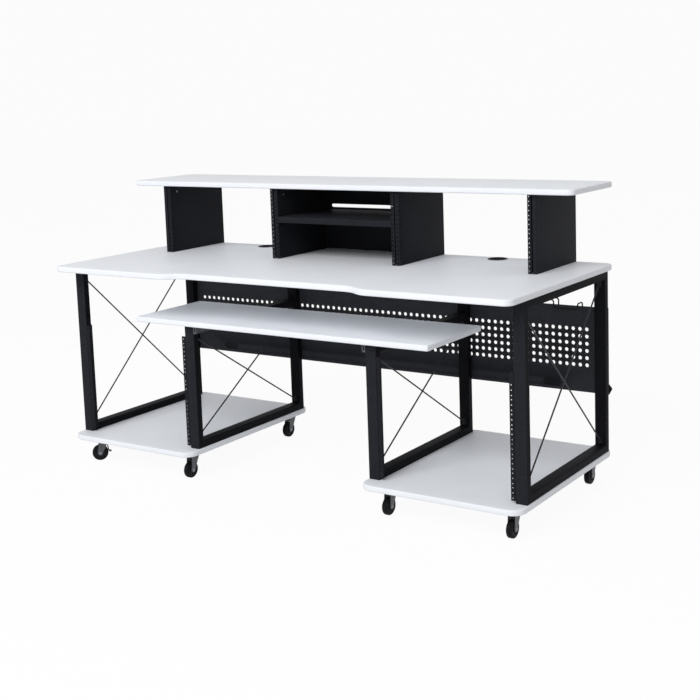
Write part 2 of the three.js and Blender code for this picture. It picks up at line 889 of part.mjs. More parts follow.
// Pressed fork: a channel folded over the wheel, trimmed to taper down to the axle eyes
function casterFork(locking) {
  const channel = polygon([
    [-forkOuterHalf, axleHeight - wheelRadius],
    [-forkInnerHalf, axleHeight - wheelRadius],
    [-forkInnerHalf, crownUnderside],
    [forkInnerHalf, crownUnderside],
    [forkInnerHalf, axleHeight - wheelRadius],
    [forkOuterHalf, axleHeight - wheelRadius],
    [forkOuterHalf, crownTop],
    [-forkOuterHalf, crownTop],
  ]);
  const halfCrown = forkCrownLength / 2;
  const outline = new THREE.Shape();
  outline.moveTo(-halfCrown, crownTop);
  outline.lineTo(-casterTrail - forkEyeRadius, axleHeight);
  outline.absarc(-casterTrail, axleHeight, forkEyeRadius, Math.PI, 2 * Math.PI);
  outline.lineTo(halfCrown, crownUnderside - forkShoulder);
  outline.lineTo(halfCrown, crownTop);
  outline.closePath();
  const reach = forkOuterHalf + overrun;
  const trimmed = toSolid(extrudeAlongY(channel, -reach - halfCrown, reach + halfCrown))
    .intersect(toSolid(extrudeAlongX(outline, -reach, reach)));
  const pinBore = kingpinRadius + kingpinRunningGap;
  const bore = new THREE.CylinderGeometry(pinBore, pinBore, forkCrownThickness + 2 * overrun, pinFacets);
  bore.rotateX(Math.PI / 2).translate(0, 0, crownTop);
  const axleHalf = forkOuterHalf + axleHead;
  const axle = rodBetween(
    [-axleHalf, -casterTrail, axleHeight],
    [axleHalf, -casterTrail, axleHeight],
    2 * axleRadius,
    pinFacets,
  );
  let fork = trimmed.subtract(toSolid(bore)).add(toSolid(axle));
  if (locking) {
    fork = fork.subtract(toSolid(pedalPin(pedalPinRadius + axleRunningGap, reach)));
  }
  return toGeometry(fork);
}

// Bent strip that swings on its pin; its toe stands out behind the wheel
function brakePedal() {
  const half = pedalThickness / 2;
  const tip = pedalPinBack + pedalReach;
  const low = pedalPinHeight - pedalDrop;
  const strip = polygon([
    [pedalPinBack - half, pedalPinHeight + pedalPinRadius],
    [tip - half, low],
    [tip + half + pedalToe, low],
    [tip + half + pedalToe, low + pedalThickness],
    [tip + half, low + pedalThickness],
    [pedalPinBack + half, pedalPinHeight + pedalPinRadius],
  ]);
  const pin = pedalPin(pedalPinRadius, forkOuterHalf + axleHead);
  return join([extrudeAlongX(strip, -pedalWidth / 2, pedalWidth / 2), pin]);
}

function casterWheel() {
  const bore = axleRadius + axleRunningGap;
  const halfTread = wheelWidth / 2;
  const halfHub = wheelHubWidth / 2;
  const profile = [
    [bore, -halfHub],
    [wheelRadius - wheelTreadRound, -halfTread],
    [wheelRadius, -halfTread + wheelTreadRound],
    [wheelRadius, halfTread - wheelTreadRound],
    [wheelRadius - wheelTreadRound, halfTread],
    [bore, halfHub],
    [bore, -halfHub],
  ];
  const wheel = new THREE.LatheGeometry(profile.map(([r, x]) => new THREE.Vector2(r, x)), wheelFacets);
  return wheel.rotateZ(-Math.PI / 2);
}

function addCaster(name, x, y, locking) {
  const caster = new THREE.Group();
  caster.position.set(x, y, casterHeight);
  group.add(caster);
  addMesh(caster, `${name}_plate`, casterPlate(), zincPlate);
  const swivel = new THREE.Group();
  swivel.rotation.z = THREE.MathUtils.degToRad(locking ? swivelTurned : swivelStraight);
  caster.add(swivel);
  addMesh(swivel, `${name}_fork`, casterFork(locking), greyFork);
  const wheel = addMesh(swivel, `${name}_wheel`, casterWheel(), blackRubber);
  wheel.position.set(0, -casterTrail, axleHeight);
  if (locking) {
    addMesh(swivel, `${name}_brake_pedal`, brakePedal(), greyFork);
  }
}

for (const [side, word] of sides) {
  const columns = [
    ['outer', side * (pedestalOuter - casterSideInset)],
    ['inner', side * (pedestalInner + casterSideInset)],
  ];
  for (const [column, x] of columns) {
    const locking = word === 'left' && column === 'outer';
    addCaster(`caster_front_${word}_${column}`, x, pedestalFront + casterFrontInset, locking);
    addCaster(`caster_rear_${word}_${column}`, x, pedestalBack - casterBackInset, false);
  }
}

export default group;
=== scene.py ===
# %% [markdown]
# # A studio desk in white laminate and black steel
# The desk was first drawn as solids: boards, side frames, rails, slides and casters, each one a
# body that can move as the real one does. This lesson dresses that model. Boards get soft
# rounded edges, sheet metal gets its bends and holes, and every surface gets a finish that is
# worked out from nodes, so that it holds up close to the camera as well.

import json
import math
import bmesh
import bpy
from mathutils import Matrix, Quaternion, Vector

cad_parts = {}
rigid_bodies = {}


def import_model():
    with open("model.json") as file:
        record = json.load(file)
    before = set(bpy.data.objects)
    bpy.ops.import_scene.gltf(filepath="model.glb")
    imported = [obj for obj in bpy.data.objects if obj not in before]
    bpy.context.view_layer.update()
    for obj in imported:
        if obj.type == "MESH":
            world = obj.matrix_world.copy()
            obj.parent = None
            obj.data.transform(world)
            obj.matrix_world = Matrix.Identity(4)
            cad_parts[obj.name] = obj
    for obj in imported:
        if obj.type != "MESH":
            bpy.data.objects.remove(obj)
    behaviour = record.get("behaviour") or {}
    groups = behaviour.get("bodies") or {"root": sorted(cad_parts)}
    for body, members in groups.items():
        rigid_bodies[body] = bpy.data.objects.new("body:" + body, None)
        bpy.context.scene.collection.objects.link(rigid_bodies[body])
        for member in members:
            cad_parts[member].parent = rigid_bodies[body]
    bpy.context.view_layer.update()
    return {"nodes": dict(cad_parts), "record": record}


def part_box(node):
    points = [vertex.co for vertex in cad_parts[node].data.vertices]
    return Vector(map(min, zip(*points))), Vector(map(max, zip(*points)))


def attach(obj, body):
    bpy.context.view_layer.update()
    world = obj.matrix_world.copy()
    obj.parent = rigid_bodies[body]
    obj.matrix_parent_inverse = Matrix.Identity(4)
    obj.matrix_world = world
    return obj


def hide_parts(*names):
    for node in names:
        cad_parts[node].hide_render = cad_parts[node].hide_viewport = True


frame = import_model()
MM = 0.001
PLAY = 0.3 * MM  # the gap that the solids keep between separate pieces

# %% [markdown]
# ## The camera
# A product picture like this one is taken from standing height, a few metres off, from the
# desk's right. The lens is long, so the boards' edges stay nearly parallel. The lens is also
# shifted a little, so that the camera looks down less steeply and the posts lean less. Its place
# and its turn were found by matching the desk's own corners to the picture.

# %% Camera
WIDTH_PX = 700
FOCAL_PX = 1245.5
CENTRE_PX = (380, 255)
stand = Vector((2.48283, -3.46008, 1.35364))
yaw, pitch, roll = 0.5755, 0.1361, -0.0315

forward = Vector((
    -math.sin(yaw) * math.cos(pitch), math.cos(yaw) * math.cos(pitch), -math.sin(pitch)))
level = Vector((math.cos(yaw), math.sin(yaw), 0))
upright = level.cross(forward)
right = level * math.cos(roll) + upright * math.sin(roll)
up = upright * math.cos(roll) - level * math.sin(roll)

lens = bpy.data.cameras.new("picture_camera")
camera = bpy.data.objects.new("picture_camera", lens)
bpy.context.scene.collection.objects.link(camera)
bpy.context.scene.camera = camera
aim = Matrix((right, up, -forward)).transposed().to_4x4()
camera.matrix_world = Matrix.Translation(stand) @ aim
lens.sensor_width = 36
lens.lens = FOCAL_PX / WIDTH_PX * lens.sensor_width
lens.shift_x = (WIDTH_PX / 2 - CENTRE_PX[0]) / WIDTH_PX
lens.shift_y = (CENTRE_PX[1] - WIDTH_PX / 2) / WIDTH_PX
lens.clip_end = 60
print("lens %.1f mm, shift %.3f %.3f" % (lens.lens, lens.shift_x, lens.shift_y))

# %% [markdown]
# ## Writing with nodes
# A finish is a small calculation: take a noise, cut it at a level, use it to pick between two
# colours. Nodes do that sum, but they are long to write. Here one small class stands for a value
# on its way through the nodes, so `1 - mask * 0.3` adds the Math nodes by itself, and one method
# adds any other node. A scale counts patterns in a metre, because Object coordinates are metres.

# %% Values that add their own Math nodes
class Value:
    def __init__(self, graph, socket):
        self.graph = graph
        self.socket = socket

    def maths(self, operation, first, second=0.0):
        return self.graph.node("ShaderNodeMath", {"operation": operation}, {0: first, 1: second})

    def __add__(self, other):
        return self.maths("ADD", self, other)

    def __sub__(self, other):
        return self.maths("SUBTRACT", self, other)

    def __rsub__(self, other):
        return self.maths("SUBTRACT", other, self)

    def __mul__(self, other):
        return self.maths("MULTIPLY", self, other)

    __radd__ = __add__
    __rmul__ = __mul__

# %% A graph and the method that adds a node to it
class Graph:
    def __init__(self, tree):
        self.tree = tree

    def link(self, socket, value):
        if isinstance(value, Value):
            self.tree.links.new(value.socket, socket)
        else:
            socket.default_value = value

    def node(self, kind, settings=None, values=None, output=0):
        made = self.tree.nodes.new(kind)
        for key, setting in (settings or {}).items():
            setattr(made, key, setting)
        for key, value in (values or {}).items():
            for one in value if isinstance(value, list) else [value]:
                self.link(made.inputs[key], one)
        return Value(self, made.outputs[output])

# %% A finish is a graph that ends in one shader
class Finish(Graph):
    def __init__(self, name, slot):
        self.material = bpy.data.materials.new(name)
        self.material.use_nodes = True
        super().__init__(self.material.node_tree)
        self.slot = slot
        self.shader = self.tree.nodes["Principled BSDF"]

    def set(self, socket, value):
        self.link(self.shader.inputs[socket], value)

    def place(self, stretch=(1, 1, 1)):
        here = self.node("ShaderNodeTexCoord", output="Object")
        return self.node("ShaderNodeMapping", {}, {"Vector": here, "Scale": stretch})

    def noise(self, scale, detail=2.0, roughness=0.5, stretch=(1, 1, 1)):
        values = {
            "Vector": self.place(stretch), "Scale": scale, "Detail": detail, "Roughness": roughness}
        return self.node("ShaderNodeTexNoise", {}, values)

    def spread(self, value, low, high, to_low=0.0, to_high=1.0):
        """The part of a value between low and high, stretched to a new range and cut off there."""
        values = {"Value": value, "From Min": low, "From Max": high}
        values.update({"To Min": to_low, "To Max": to_high})
        return self.node("ShaderNodeMapRange", {"clamp": True}, values)

    def blend(self, mask, first, second):
        """One colour going over into another; 6, 7 and output 2 are the Mix node's colours."""
        colours = {0: mask, 6: first, 7: second}
        return self.node("ShaderNodeMix", {"data_type": "RGBA"}, colours, output=2)

    def edges_worn_and_lit(self, low, high):
        """Where the surface turns outwards sharply, as along the edges of a tube; used for edge
        wear and a painted highlight there.
        """
        return self.spread(self.node("ShaderNodeNewGeometry", output="Pointiness"), low, high)

    def bump(self, height, distance, strength=1.0):
        values = {"Height": height, "Distance": distance, "Strength": strength}
        self.set("Normal", self.node("ShaderNodeBump", {}, values))

def tone(red, green, blue):
    return (red, green, blue, 1.0)

# %% [markdown]
# ## The finishes
# White laminate is a printed paper under resin. It is almost even, with a fine pebble pressed in
# by the plate, and it is cool rather than cream. Powder coat is fine orange peel with tiny
# speckles that catch light. Along the edges it is lighter, partly where wear leaves it thinner and
# partly as a painted highlight. The desk has it deep black on tubes and shelves and satin on rods
# and wires; its large sheets get a lighter copy of the coat, which paints in the light on them.
# Zinc plate mirrors the white room, in soft crystals; its colour is set far darker than real zinc,
# as painted shade for the slides and screws that sit in shadow.

# %% White laminate
PAPER = (tone(0.765, 0.785, 0.825), tone(0.795, 0.815, 0.855))
FLECK, FLECK_SCALE, FLECK_SHARE = tone(0.62, 0.64, 0.68), 2600.0, 0.10
PRINT_SCALE, PEBBLE_SCALE, PEBBLE_DEPTH = 6.0, 900.0, 0.10 * MM
laminate = Finish("white_laminate", "white_laminate")
cloud = laminate.spread(laminate.noise(PRINT_SCALE, detail=3.0), low=0.3, high=0.7)
pebble = laminate.noise(PEBBLE_SCALE)
ground = laminate.blend(cloud, *PAPER)
fleck = laminate.spread(laminate.noise(FLECK_SCALE, detail=1.0), low=0.62, high=0.72)
laminate.set("Base Color", laminate.blend(fleck * FLECK_SHARE, ground, FLECK))
laminate.set("Roughness", laminate.spread(pebble, 0.2, 0.8, to_low=0.44, to_high=0.58))
laminate.set("Specular IOR Level", 0.25)
laminate.bump(pebble, PEBBLE_DEPTH, 0.8)
print("laminate nodes:", len(laminate.tree.nodes))

# %% Powder coats
PEEL_SCALE, PEEL_DEPTH, DUST_SCALE, DUST_SHARE = 1400.0, 0.16 * MM, 3600.0, 0.45
CLOUD_SCALE, MOTTLE_SCALE, DUST_LIFT = 9.0, 260.0, 3.0
EDGE_WEAR_AND_HIGHLIGHT_LIFT, EDGE_WEAR_AND_HIGHLIGHT_SHARE, MOTTLE_COVER = 4.0, 0.55, 0.35

def powder_coat(name, slot, dark, light, rough, gloss):
    """A coat from its two tones, its lowest and highest roughness and its gloss."""
    coat = Finish(name, slot)
    peel = coat.noise(PEEL_SCALE, detail=3.0, roughness=0.6)
    dust = coat.spread(coat.noise(DUST_SCALE, detail=1.0), low=0.60, high=0.74)
    cloud = coat.spread(coat.noise(CLOUD_SCALE), low=0.3, high=0.7)
    patches = coat.noise(MOTTLE_SCALE, detail=4.0, roughness=0.65)
    mottle = coat.spread(patches, low=0.35, high=0.65)
    ground = coat.blend(cloud * 0.5 + mottle * 0.5, tone(*dark), tone(*light))
    dusty_tone, wear_and_highlight_tone = [
        tone(*[lift * part for part in light]) for lift in (DUST_LIFT, EDGE_WEAR_AND_HIGHLIGHT_LIFT)]
    speckled = coat.blend(dust * DUST_SHARE, ground, dusty_tone)
    # Lighter along the edges: partly edge wear, partly a painted highlight.
    wear_and_highlight = coat.edges_worn_and_lit(0.52, 0.60) * (EDGE_WEAR_AND_HIGHLIGHT_SHARE - MOTTLE_COVER * mottle)
    coat.set("Base Color", coat.blend(wear_and_highlight, speckled, wear_and_highlight_tone))
    coat.set("Roughness", coat.spread(peel, 0.25, 0.75, *rough))
    coat.set("Specular IOR Level", gloss)
    coat.bump(peel, PEEL_DEPTH, 0.8)
    return coat

black_coat = powder_coat(
    "black_powder_coat", "black_powder_coat",
    (0.0050, 0.0053, 0.0067), (0.0084, 0.0088, 0.0108), rough=(0.46, 0.64), gloss=0.03)
satin_black = powder_coat(
    "satin_black_coat", "black_powder_coat",
    (0.0080, 0.0084, 0.0100), (0.0105, 0.0110, 0.0130), rough=(0.30, 0.42), gloss=0.20)
# A lighter copy of the black coat for the large sheets: painted light, for the light that falls on
# them.
lit_sheet_black = powder_coat(
    "sheet_black_coat", "black_powder_coat",
    (0.0115, 0.0120, 0.0147), (0.0177, 0.0184, 0.0219), rough=(0.46, 0.62), gloss=0.05)
grey_paint = powder_coat(
    "grey_fork_paint", "grey_fork",
    (0.030, 0.032, 0.036), (0.040, 0.042, 0.046), rough=(0.34, 0.46), gloss=0.5)
coats = (black_coat, satin_black, lit_sheet_black, grey_paint)
print("powder coats:", [coat.material.name for coat in coats])

# %% Zinc plate and bare steel
# Zinc tones darker than real zinc: painted shade for the slides and screws that sit in shadow.
SHADED_ZINC = (tone(0.12, 0.125, 0.135), tone(0.20, 0.21, 0.225))
STEEL = (tone(0.50, 0.50, 0.52), tone(0.66, 0.66, 0.67))
CRYSTAL_SCALE, DRAWN_SCALE, DRAWN_SHARE, TURNED_SCALE = 160.0, 30.0, 0.6, 700.0
zinc = Finish("zinc_plate", "zinc_plate")
crystals = {"Vector": zinc.place(), "Scale": CRYSTAL_SCALE}
cell = zinc.node("ShaderNodeTexVoronoi", {"feature": "F1"}, crystals)
drawn = zinc.noise(DRAWN_SCALE, detail=3.0, roughness=0.6, stretch=(1, 0.04, 1))
cloud = zinc.spread(cell + drawn * DRAWN_SHARE, low=0.2, high=1.0)
zinc.set("Base Color", zinc.blend(cloud, *SHADED_ZINC))
zinc.set("Metallic", 1.0)
zinc.set("Roughness", zinc.spread(drawn, 0.3, 0.7, to_low=0.26, to_high=0.42))
zinc.bump(drawn, 0.03 * MM, 0.4)

steel = Finish("bare_steel", "zinc_plate")
turned = steel.noise(TURNED_SCALE)
steel.set("Base Color", steel.blend(turned, *STEEL))
steel.set("Metallic", 1.0)
steel.set("Roughness", steel.spread(turned, 0.3, 0.7, to_low=0.24, to_high=0.36))
steel.bump(turned, 0.02 * MM, 0.4)
print("metals:", zinc.material.name, steel.material.name)

# %% Tread rubber and moulded plastic
RUBBER = (tone(0.0055, 0.006, 0.007), tone(0.012, 0.012, 0.013))
PLASTIC = (tone(0.010, 0.010, 0.012), tone(0.015, 0.015, 0.018))
GRAIN_SCALE, FLOOR_DUST_SCALE, FLOOR_DUST_SHARE, MOULD_SCALE = 520.0, 40.0, 0.5, 1100.0
rubber = Finish("black_rubber", "black_rubber")
grain = rubber.noise(GRAIN_SCALE, detail=4.0, roughness=0.7)
dusty = rubber.spread(rubber.noise(FLOOR_DUST_SCALE), low=0.45, high=0.75)
rubber.set("Base Color", rubber.blend(dusty * FLOOR_DUST_SHARE, *RUBBER))
rubber.set("Roughness", rubber.spread(grain, 0.3, 0.7, to_low=0.48, to_high=0.66))
rubber.set("Specular IOR Level", 0.08)
rubber.bump(grain, 0.10 * MM, 0.6)

plastic = Finish("black_plastic", "black_plastic")
moulding = plastic.noise(MOULD_SCALE, detail=3.0, roughness=0.6)
moulded = plastic.spread(moulding, low=0.3, high=0.7)
plastic.set("Base Color", plastic.blend(moulded, *PLASTIC))
plastic.set("Roughness", plastic.spread(moulded, 0.0, 1.0, to_low=0.40, to_high=0.55))
plastic.set("Specular IOR Level", 0.1)
plastic.bump(moulded, 0.06 * MM, 0.5)
print("caster finishes:", rubber.material.name, plastic.material.name)

# %% Every solid gets the finish of its slot
finish_of_slot = {
    "white_laminate": laminate,
    "black_powder_coat": black_coat,
    "zinc_plate": zinc,
    "grey_fork": grey_paint,
    "black_rubber": rubber,
    "black_plastic": plastic,
}
for entry in frame["record"]["subparts"]:
    node = frame["nodes"][entry["node"]]
    node.data.materials.clear()
    node.data.materials.append(finish_of_slot[entry["material_slot"]].material)

# %% [markdown]
# ## Making pieces
# Each new piece is a mesh whose points are already where they belong, so its object sits at the
# origin. It rides on the same moving body as the solid that it stands for, and takes over from it.

# %% From a mesh to a finished piece
bodies = frame["record"]["behaviour"]["bodies"]
body_of_node = {node: body for body, nodes in bodies.items() for node in nodes}
print("nodes that ride on a body:", len(body_of_node))

def cleaned(bm):
    """One closed part as a plain mesh, with doubled points merged and its faces turned outwards."""
    bmesh.ops.remove_doubles(bm, verts=bm.verts, dist=1e-6)
    bmesh.ops.recalc_face_normals(bm, faces=bm.faces)
    mesh = bpy.data.meshes.new("part")
    bm.to_mesh(mesh)
    bm.free()
    return mesh

def mesh_piece(name, *parts, place=None):
    """A piece of one or more closed parts, which may touch without being merged."""
    whole = bmesh.new()
    for part in parts:
        mesh = cleaned(part)
        whole.from_mesh(mesh)
        bpy.data.meshes.remove(mesh)
    if place:
        whole.transform(place)
    mesh = bpy.data.meshes.new(name)
    whole.to_mesh(mesh)
    whole.free()
    piece = bpy.data.objects.new(name, mesh)
    bpy.context.scene.collection.objects.link(piece)
    return piece

def finished(piece, finish, body, smooth=35):
    """Gives a piece its finish and its moving body; smooth is the angle left round, in degrees."""
    piece.data.materials.clear()
    piece.data.materials.append(finish.material)
    piece.data.shade_smooth()
    piece.data.set_sharp_from_angle(angle=math.radians(smooth))
    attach(piece, body)
    return piece

def stands_for(piece, finish, *nodes, smooth=35):
    finished(piece, finish, body_of_node[nodes[0]], smooth)
    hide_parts(*nodes)
    return piece

# %% Outlines: rounding corners, moving the edge in, bending a sheet
def rounded(corners, radius, steps=6):
    """A run of corners, each replaced by an arc; the radius may be one for each corner."""
    radii = radius if isinstance(radius, list) else [radius] * len(corners)
    points = []
    for index, corner in enumerate(corners):
        here = Vector(corner).to_3d()
        if radii[index] == 0:
            points.append(here)
            continue
        before = (Vector(corners[index - 1]).to_3d() - here).normalized()
        after = (Vector(corners[(index + 1) % len(corners)]).to_3d() - here).normalized()
        half = before.angle(after) / 2
        centre = here + (before + after).normalized() * radii[index] / math.sin(half)
        start = here + before * radii[index] / math.tan(half) - centre
        axis = before.cross(after)
        for step in range(steps + 1):
            turn = Quaternion(axis, -(math.pi - 2 * half) * step / steps)
            points.append(centre + turn @ start)
    return points

def counter_clockwise(outline):
    area = sum(a.x * b.y - b.x * a.y for a, b in zip(outline, outline[1:] + outline[:1]))
    return outline if area > 0 else outline[::-1]

def offset(outline, amount):
    """The outline moved inwards, with its corners kept square."""
    points = []
    earlier, later = outline[-1:] + outline[:-1], outline[1:] + outline[:1]
    for before, here, after in zip(earlier, outline, later):
        first = Vector((0, 0, 1)).cross(here - before).normalized()
        second = Vector((0, 0, 1)).cross(after - here).normalized()
        points.append(here + (first + second) * amount / (1 + first.dot(second)))
    return points

def folded(corners, sheet, bend, steps=4):
    """The outline of a bent sheet, from the corners of the middle line of its section."""
    line = rounded(corners, [0] + [bend] * (len(corners) - 2) + [0], steps)
    ahead = 2 * line[-1] - line[-2]
    behind = 2 * line[0] - line[1]
    run = [behind] + line + [ahead]
    left = offset(run, sheet / 2)[1:-1]
    right = offset(run, -sheet / 2)[1:-1]
    return left + right[::-1]

def rectangle(left, right, front, back):
    corners = [(left, front), (right, front), (right, back), (left, back)]
    return [Vector((x, y, 0)) for x, y in corners]

def full_turn(steps):
    return [2 * math.pi * step / steps for step in range(steps)]

def quarter_turn(steps):
    return [math.pi / 2 * step / steps for step in range(steps + 1)]

def circle(x, y, radius, steps=48):
    return [
        Vector((x + radius * math.cos(turn), y + radius * math.sin(turn), 0))
        for turn in full_turn(steps)]

NEARLY_ROUND = 0.999

def oblong(x, y, width, height, steps=8):
    """A slot's outline. Its ends stop just short of half circles, so that no points meet."""
    box = rectangle(x - width / 2, x + width / 2, y - height / 2, y + height / 2)
    return rounded(box, min(width, height) / 2 * NEARLY_ROUND, steps)

print("a rounded square has", len(rounded(rectangle(0, 1, 0, 1), 0.1)), "points")

# %% Which way an outline faces, and walls between outlines
def lying(u, v, w):
    return Vector((u, v, w))

def facing_x(u, v, w):
    return Vector((w, u, v))

def facing_y(u, v, w):
    return Vector((u, w, v))

def wall(bm, lower, upper):
    for index in range(len(lower)):
        bm.faces.new((lower[index - 1], lower[index], upper[index], upper[index - 1]))

def cap(bm, turn, rings):
    """A flat face inside the first ring, left open inside the others."""
    edges = []
    for loop in rings:
        edges += [bm.edges.get((loop[index - 1], loop[index])) for index in range(len(loop))]
    bmesh.ops.triangle_fill(
        bm, use_beauty=True, use_dissolve=False, edges=edges, normal=turn(0, 0, 1))

def stack(bm, turn, loop, layers, sign=1):
    """Rings of one outline at several heights, each drawn in a little, joined by walls."""
    rings = []
    for inset, height in layers:
        outline = offset(loop, sign * inset)
        rings.append([bm.verts.new(turn(point.x, point.y, height)) for point in outline])
    for lower, upper in zip(rings, rings[1:]):
        wall(bm, lower, upper)
    return rings

# %% Solids: plates, swept rods and turned shapes
def slab(bm, turn, outline, low, high, edge=0.0, holes=(), steps=4):
    """A plate between two heights whose edges, also those of its holes, are rounded over."""
    layers = [(0.0, low), (0.0, high)]
    if edge:
        curve = [
            (edge * (1 - math.sin(angle)), edge * (1 - math.cos(angle)))
            for angle in quarter_turn(steps)]
        layers = [(inset, low + rise) for inset, rise in curve]
        layers += [(inset, high - rise) for inset, rise in reversed(curve)]
    stacks = [stack(bm, turn, counter_clockwise(outline), layers)]
    stacks += [stack(bm, turn, counter_clockwise(hole), layers, -1) for hole in holes]
    cap(bm, turn, [rings[0] for rings in stacks])
    cap(bm, turn, [rings[-1] for rings in stacks])

def plate(*sizes):
    """A part that is one slab."""
    bm = bmesh.new()
    slab(bm, *sizes)
    return bm

def sweep(bm, path, radius, sides=12):
    """A round rod along a path, closed at both ends."""
    rings = []
    side = (path[1] - path[0]).orthogonal()
    for index, point in enumerate(path):
        along = (path[min(index + 1, len(path) - 1)] - path[max(index - 1, 0)]).normalized()
        side = (side - along * side.dot(along)).normalized()
        other = along.cross(side)
        rings.append([
            bm.verts.new(point + (side * math.cos(turn) + other * math.sin(turn)) * radius)
            for turn in full_turn(sides)])
    for lower, upper in zip(rings, rings[1:]):
        wall(bm, lower, upper)
    bm.faces.new(rings[0])
    bm.faces.new(rings[-1])

def revolve(profile, place=None, steps=32):
    """A part that is a closed profile of radius and height, spun round the upright axis."""
    bm = bmesh.new()
    loops = []
    for turn in full_turn(steps):
        spots = [Vector((r * math.cos(turn), r * math.sin(turn), z)) for r, z in profile]
        loops.append([bm.verts.new(place @ spot if place else spot) for spot in spots])
    for lower, upper in zip(loops[-1:] + loops[:-1], loops):
        wall(bm, lower, upper)
    return bm

def flat_profile(points):
    return [(point.x, point.y) for point in points]

SIDEWAYS = Matrix.Rotation(math.radians(90), 4, "Y")
print("a plate has", len(plate(lying, rectangle(0, 1, 0, 1), 0, 1, 0.1).faces), "faces")

# %% [markdown]
# ## The boards
# Every board is the same thing: an outline cut from a panel, with its edges rounded over by a
# cutter that runs all round. So each is a stack of outlines, drawn in a little at the top and the
# bottom where the cutter has been. Bores are loops in the same two faces.

# %% Top shelf, bottom shelves and keyboard tray
EDGE, EDGE_STEPS, CORNER_STEPS = 4.5 * MM, 6, 12

def board(node, outline, holes=()):
    low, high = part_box(node)
    panel = plate(lying, outline, low.z, high.z, EDGE, holes, EDGE_STEPS)
    return stands_for(mesh_piece(node + "_board", panel), laminate, node)

CORNERS = {
    "top_shelf": 25 * MM,
    "bottom_shelf_left": 45 * MM,
    "bottom_shelf_right": 45 * MM,
    "keyboard_tray": 6 * MM,
}
for node, corner in CORNERS.items():
    low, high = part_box(node)
    outline = rounded(rectangle(low.x, high.x, low.y, high.y), corner, CORNER_STEPS)
    made = board(node, outline)
    print(made.name, len(made.data.polygons), "faces")

# %% Desktop with its recess and grommet bores
def bezier(a, b, c, d, steps):
    points = []
    for step in range(1, steps + 1):
        t = step / steps
        start = a * (1 - t) ** 3 + 3 * b * t * (1 - t) ** 2
        points.append(start + 3 * c * t * t * (1 - t) + d * t ** 3)
    return points

RECESS, FLAT_HALF, SWEEP, SWEEP_STEPS = 38 * MM, 317 * MM, 115 * MM, 20
DESK_CORNER, GROMMET_BORE = 32 * MM, 30 * MM
desk_low, desk_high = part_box("desktop")
whole = rectangle(desk_low.x, desk_high.x, desk_low.y, desk_high.y)
corner = rounded(whole, DESK_CORNER, CORNER_STEPS)
inner = desk_low.y + RECESS
outer_end, middle = FLAT_HALF + SWEEP, FLAT_HALF + SWEEP / 2
front_line = [Vector((x, desk_low.y, 0)) for x in (-outer_end, -middle, middle, outer_end)]
inner_line = [Vector((x, inner, 0)) for x in (-middle, -FLAT_HALF, FLAT_HALF, middle)]
recess = [front_line[0]]
recess += bezier(front_line[0], front_line[1], inner_line[0], inner_line[1], SWEEP_STEPS)
recess += [Vector((FLAT_HALF * share, inner, 0)) for share in (-0.5, 0, 0.5, 1)]
recess += bezier(inner_line[2], inner_line[3], front_line[2], front_line[3], SWEEP_STEPS)
split = len(corner) // 4
outline = corner[:split] + recess + corner[split:]

grommets = {}
for word in ("left", "right"):
    low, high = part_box("grommet_" + word)
    grommets[word] = (low + high) / 2
holes = [circle(spot.x, spot.y, GROMMET_BORE) for spot in grommets.values()]
top = board("desktop", outline, holes)
print("desktop faces:", len(top.data.polygons))

# %% [markdown]
# ## Grommets
# A grommet is a turned sleeve. Its flange has a soft lip, because a sharp one would cut cables
# and show every knock, and the sleeve runs down through the board.

# %% Grommets
FLANGE, SLEEVE_WALL, LIP_OUTSIDE, LIP_INSIDE = 35 * MM, 2.5 * MM, 1.2 * MM, 1.8 * MM
sleeve_outer = GROMMET_BORE - PLAY
sleeve_inner = sleeve_outer - SLEEVE_WALL
for word, spot in grommets.items():
    node = "grommet_" + word
    low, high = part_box(node)
    section = [
        (sleeve_outer, low.z), (sleeve_outer, desk_high.z), (FLANGE, desk_high.z), (FLANGE, high.z),
        (sleeve_inner, high.z), (sleeve_inner, low.z)]
    soft = rounded(section, [0, 0, 0, LIP_OUTSIDE, LIP_INSIDE, 0], 5)
    sleeve = revolve(flat_profile(soft), Matrix.Translation((spot.x, spot.y, 0)), 48)
    stands_for(mesh_piece(node + "_sleeve", sleeve), plastic, node)
print("grommets:", list(grommets))

# %% [markdown]
# ## Side frames
# Each frame is a closed loop of rectangular tube with a drawn corner radius on its four long
# edges. The inner ones are lower, because the tray runs over them, and only their rear posts
# go on up to the desktop.

# %% Side frames
TUBE_DEPTH, TUBE_ROUND = 25 * MM, 2.5 * MM
POSTS = [(side, row) for side in ("left", "right") for row in ("outer", "inner")]
frame_names = ["side_frame_%s_%s" % post for post in POSTS]
slide_low, slide_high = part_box("slide_fixed_left")
inner_top = (slide_low.z + slide_high.z) / 2 + TUBE_DEPTH / 2
for node in frame_names:
    low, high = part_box(node)
    loop_top = inner_top if node.endswith("inner") else high.z
    shape = [(low.y, low.z), (high.y, low.z), (high.y, high.z)]
    if loop_top < high.z:
        shape += [(high.y - TUBE_DEPTH, high.z), (high.y - TUBE_DEPTH, loop_top)]
    shape.append((low.y, loop_top))
    outline = [Vector(point).to_3d() for point in shape]
    window = rectangle(
        low.y + TUBE_DEPTH, high.y - TUBE_DEPTH, low.z + TUBE_DEPTH, loop_top - TUBE_DEPTH)
    tubes = plate(facing_x, outline, low.x, high.x, TUBE_ROUND, [window])
    stands_for(mesh_piece(node + "_tubes", tubes), black_coat, node)
print("frames:", frame_names)

# %% [markdown]
# ## Brace rods
# A crossed pair of rods keeps each frame square. The end of a rod is hammered flat into a tab,
# and a screw holds the tab to the post.

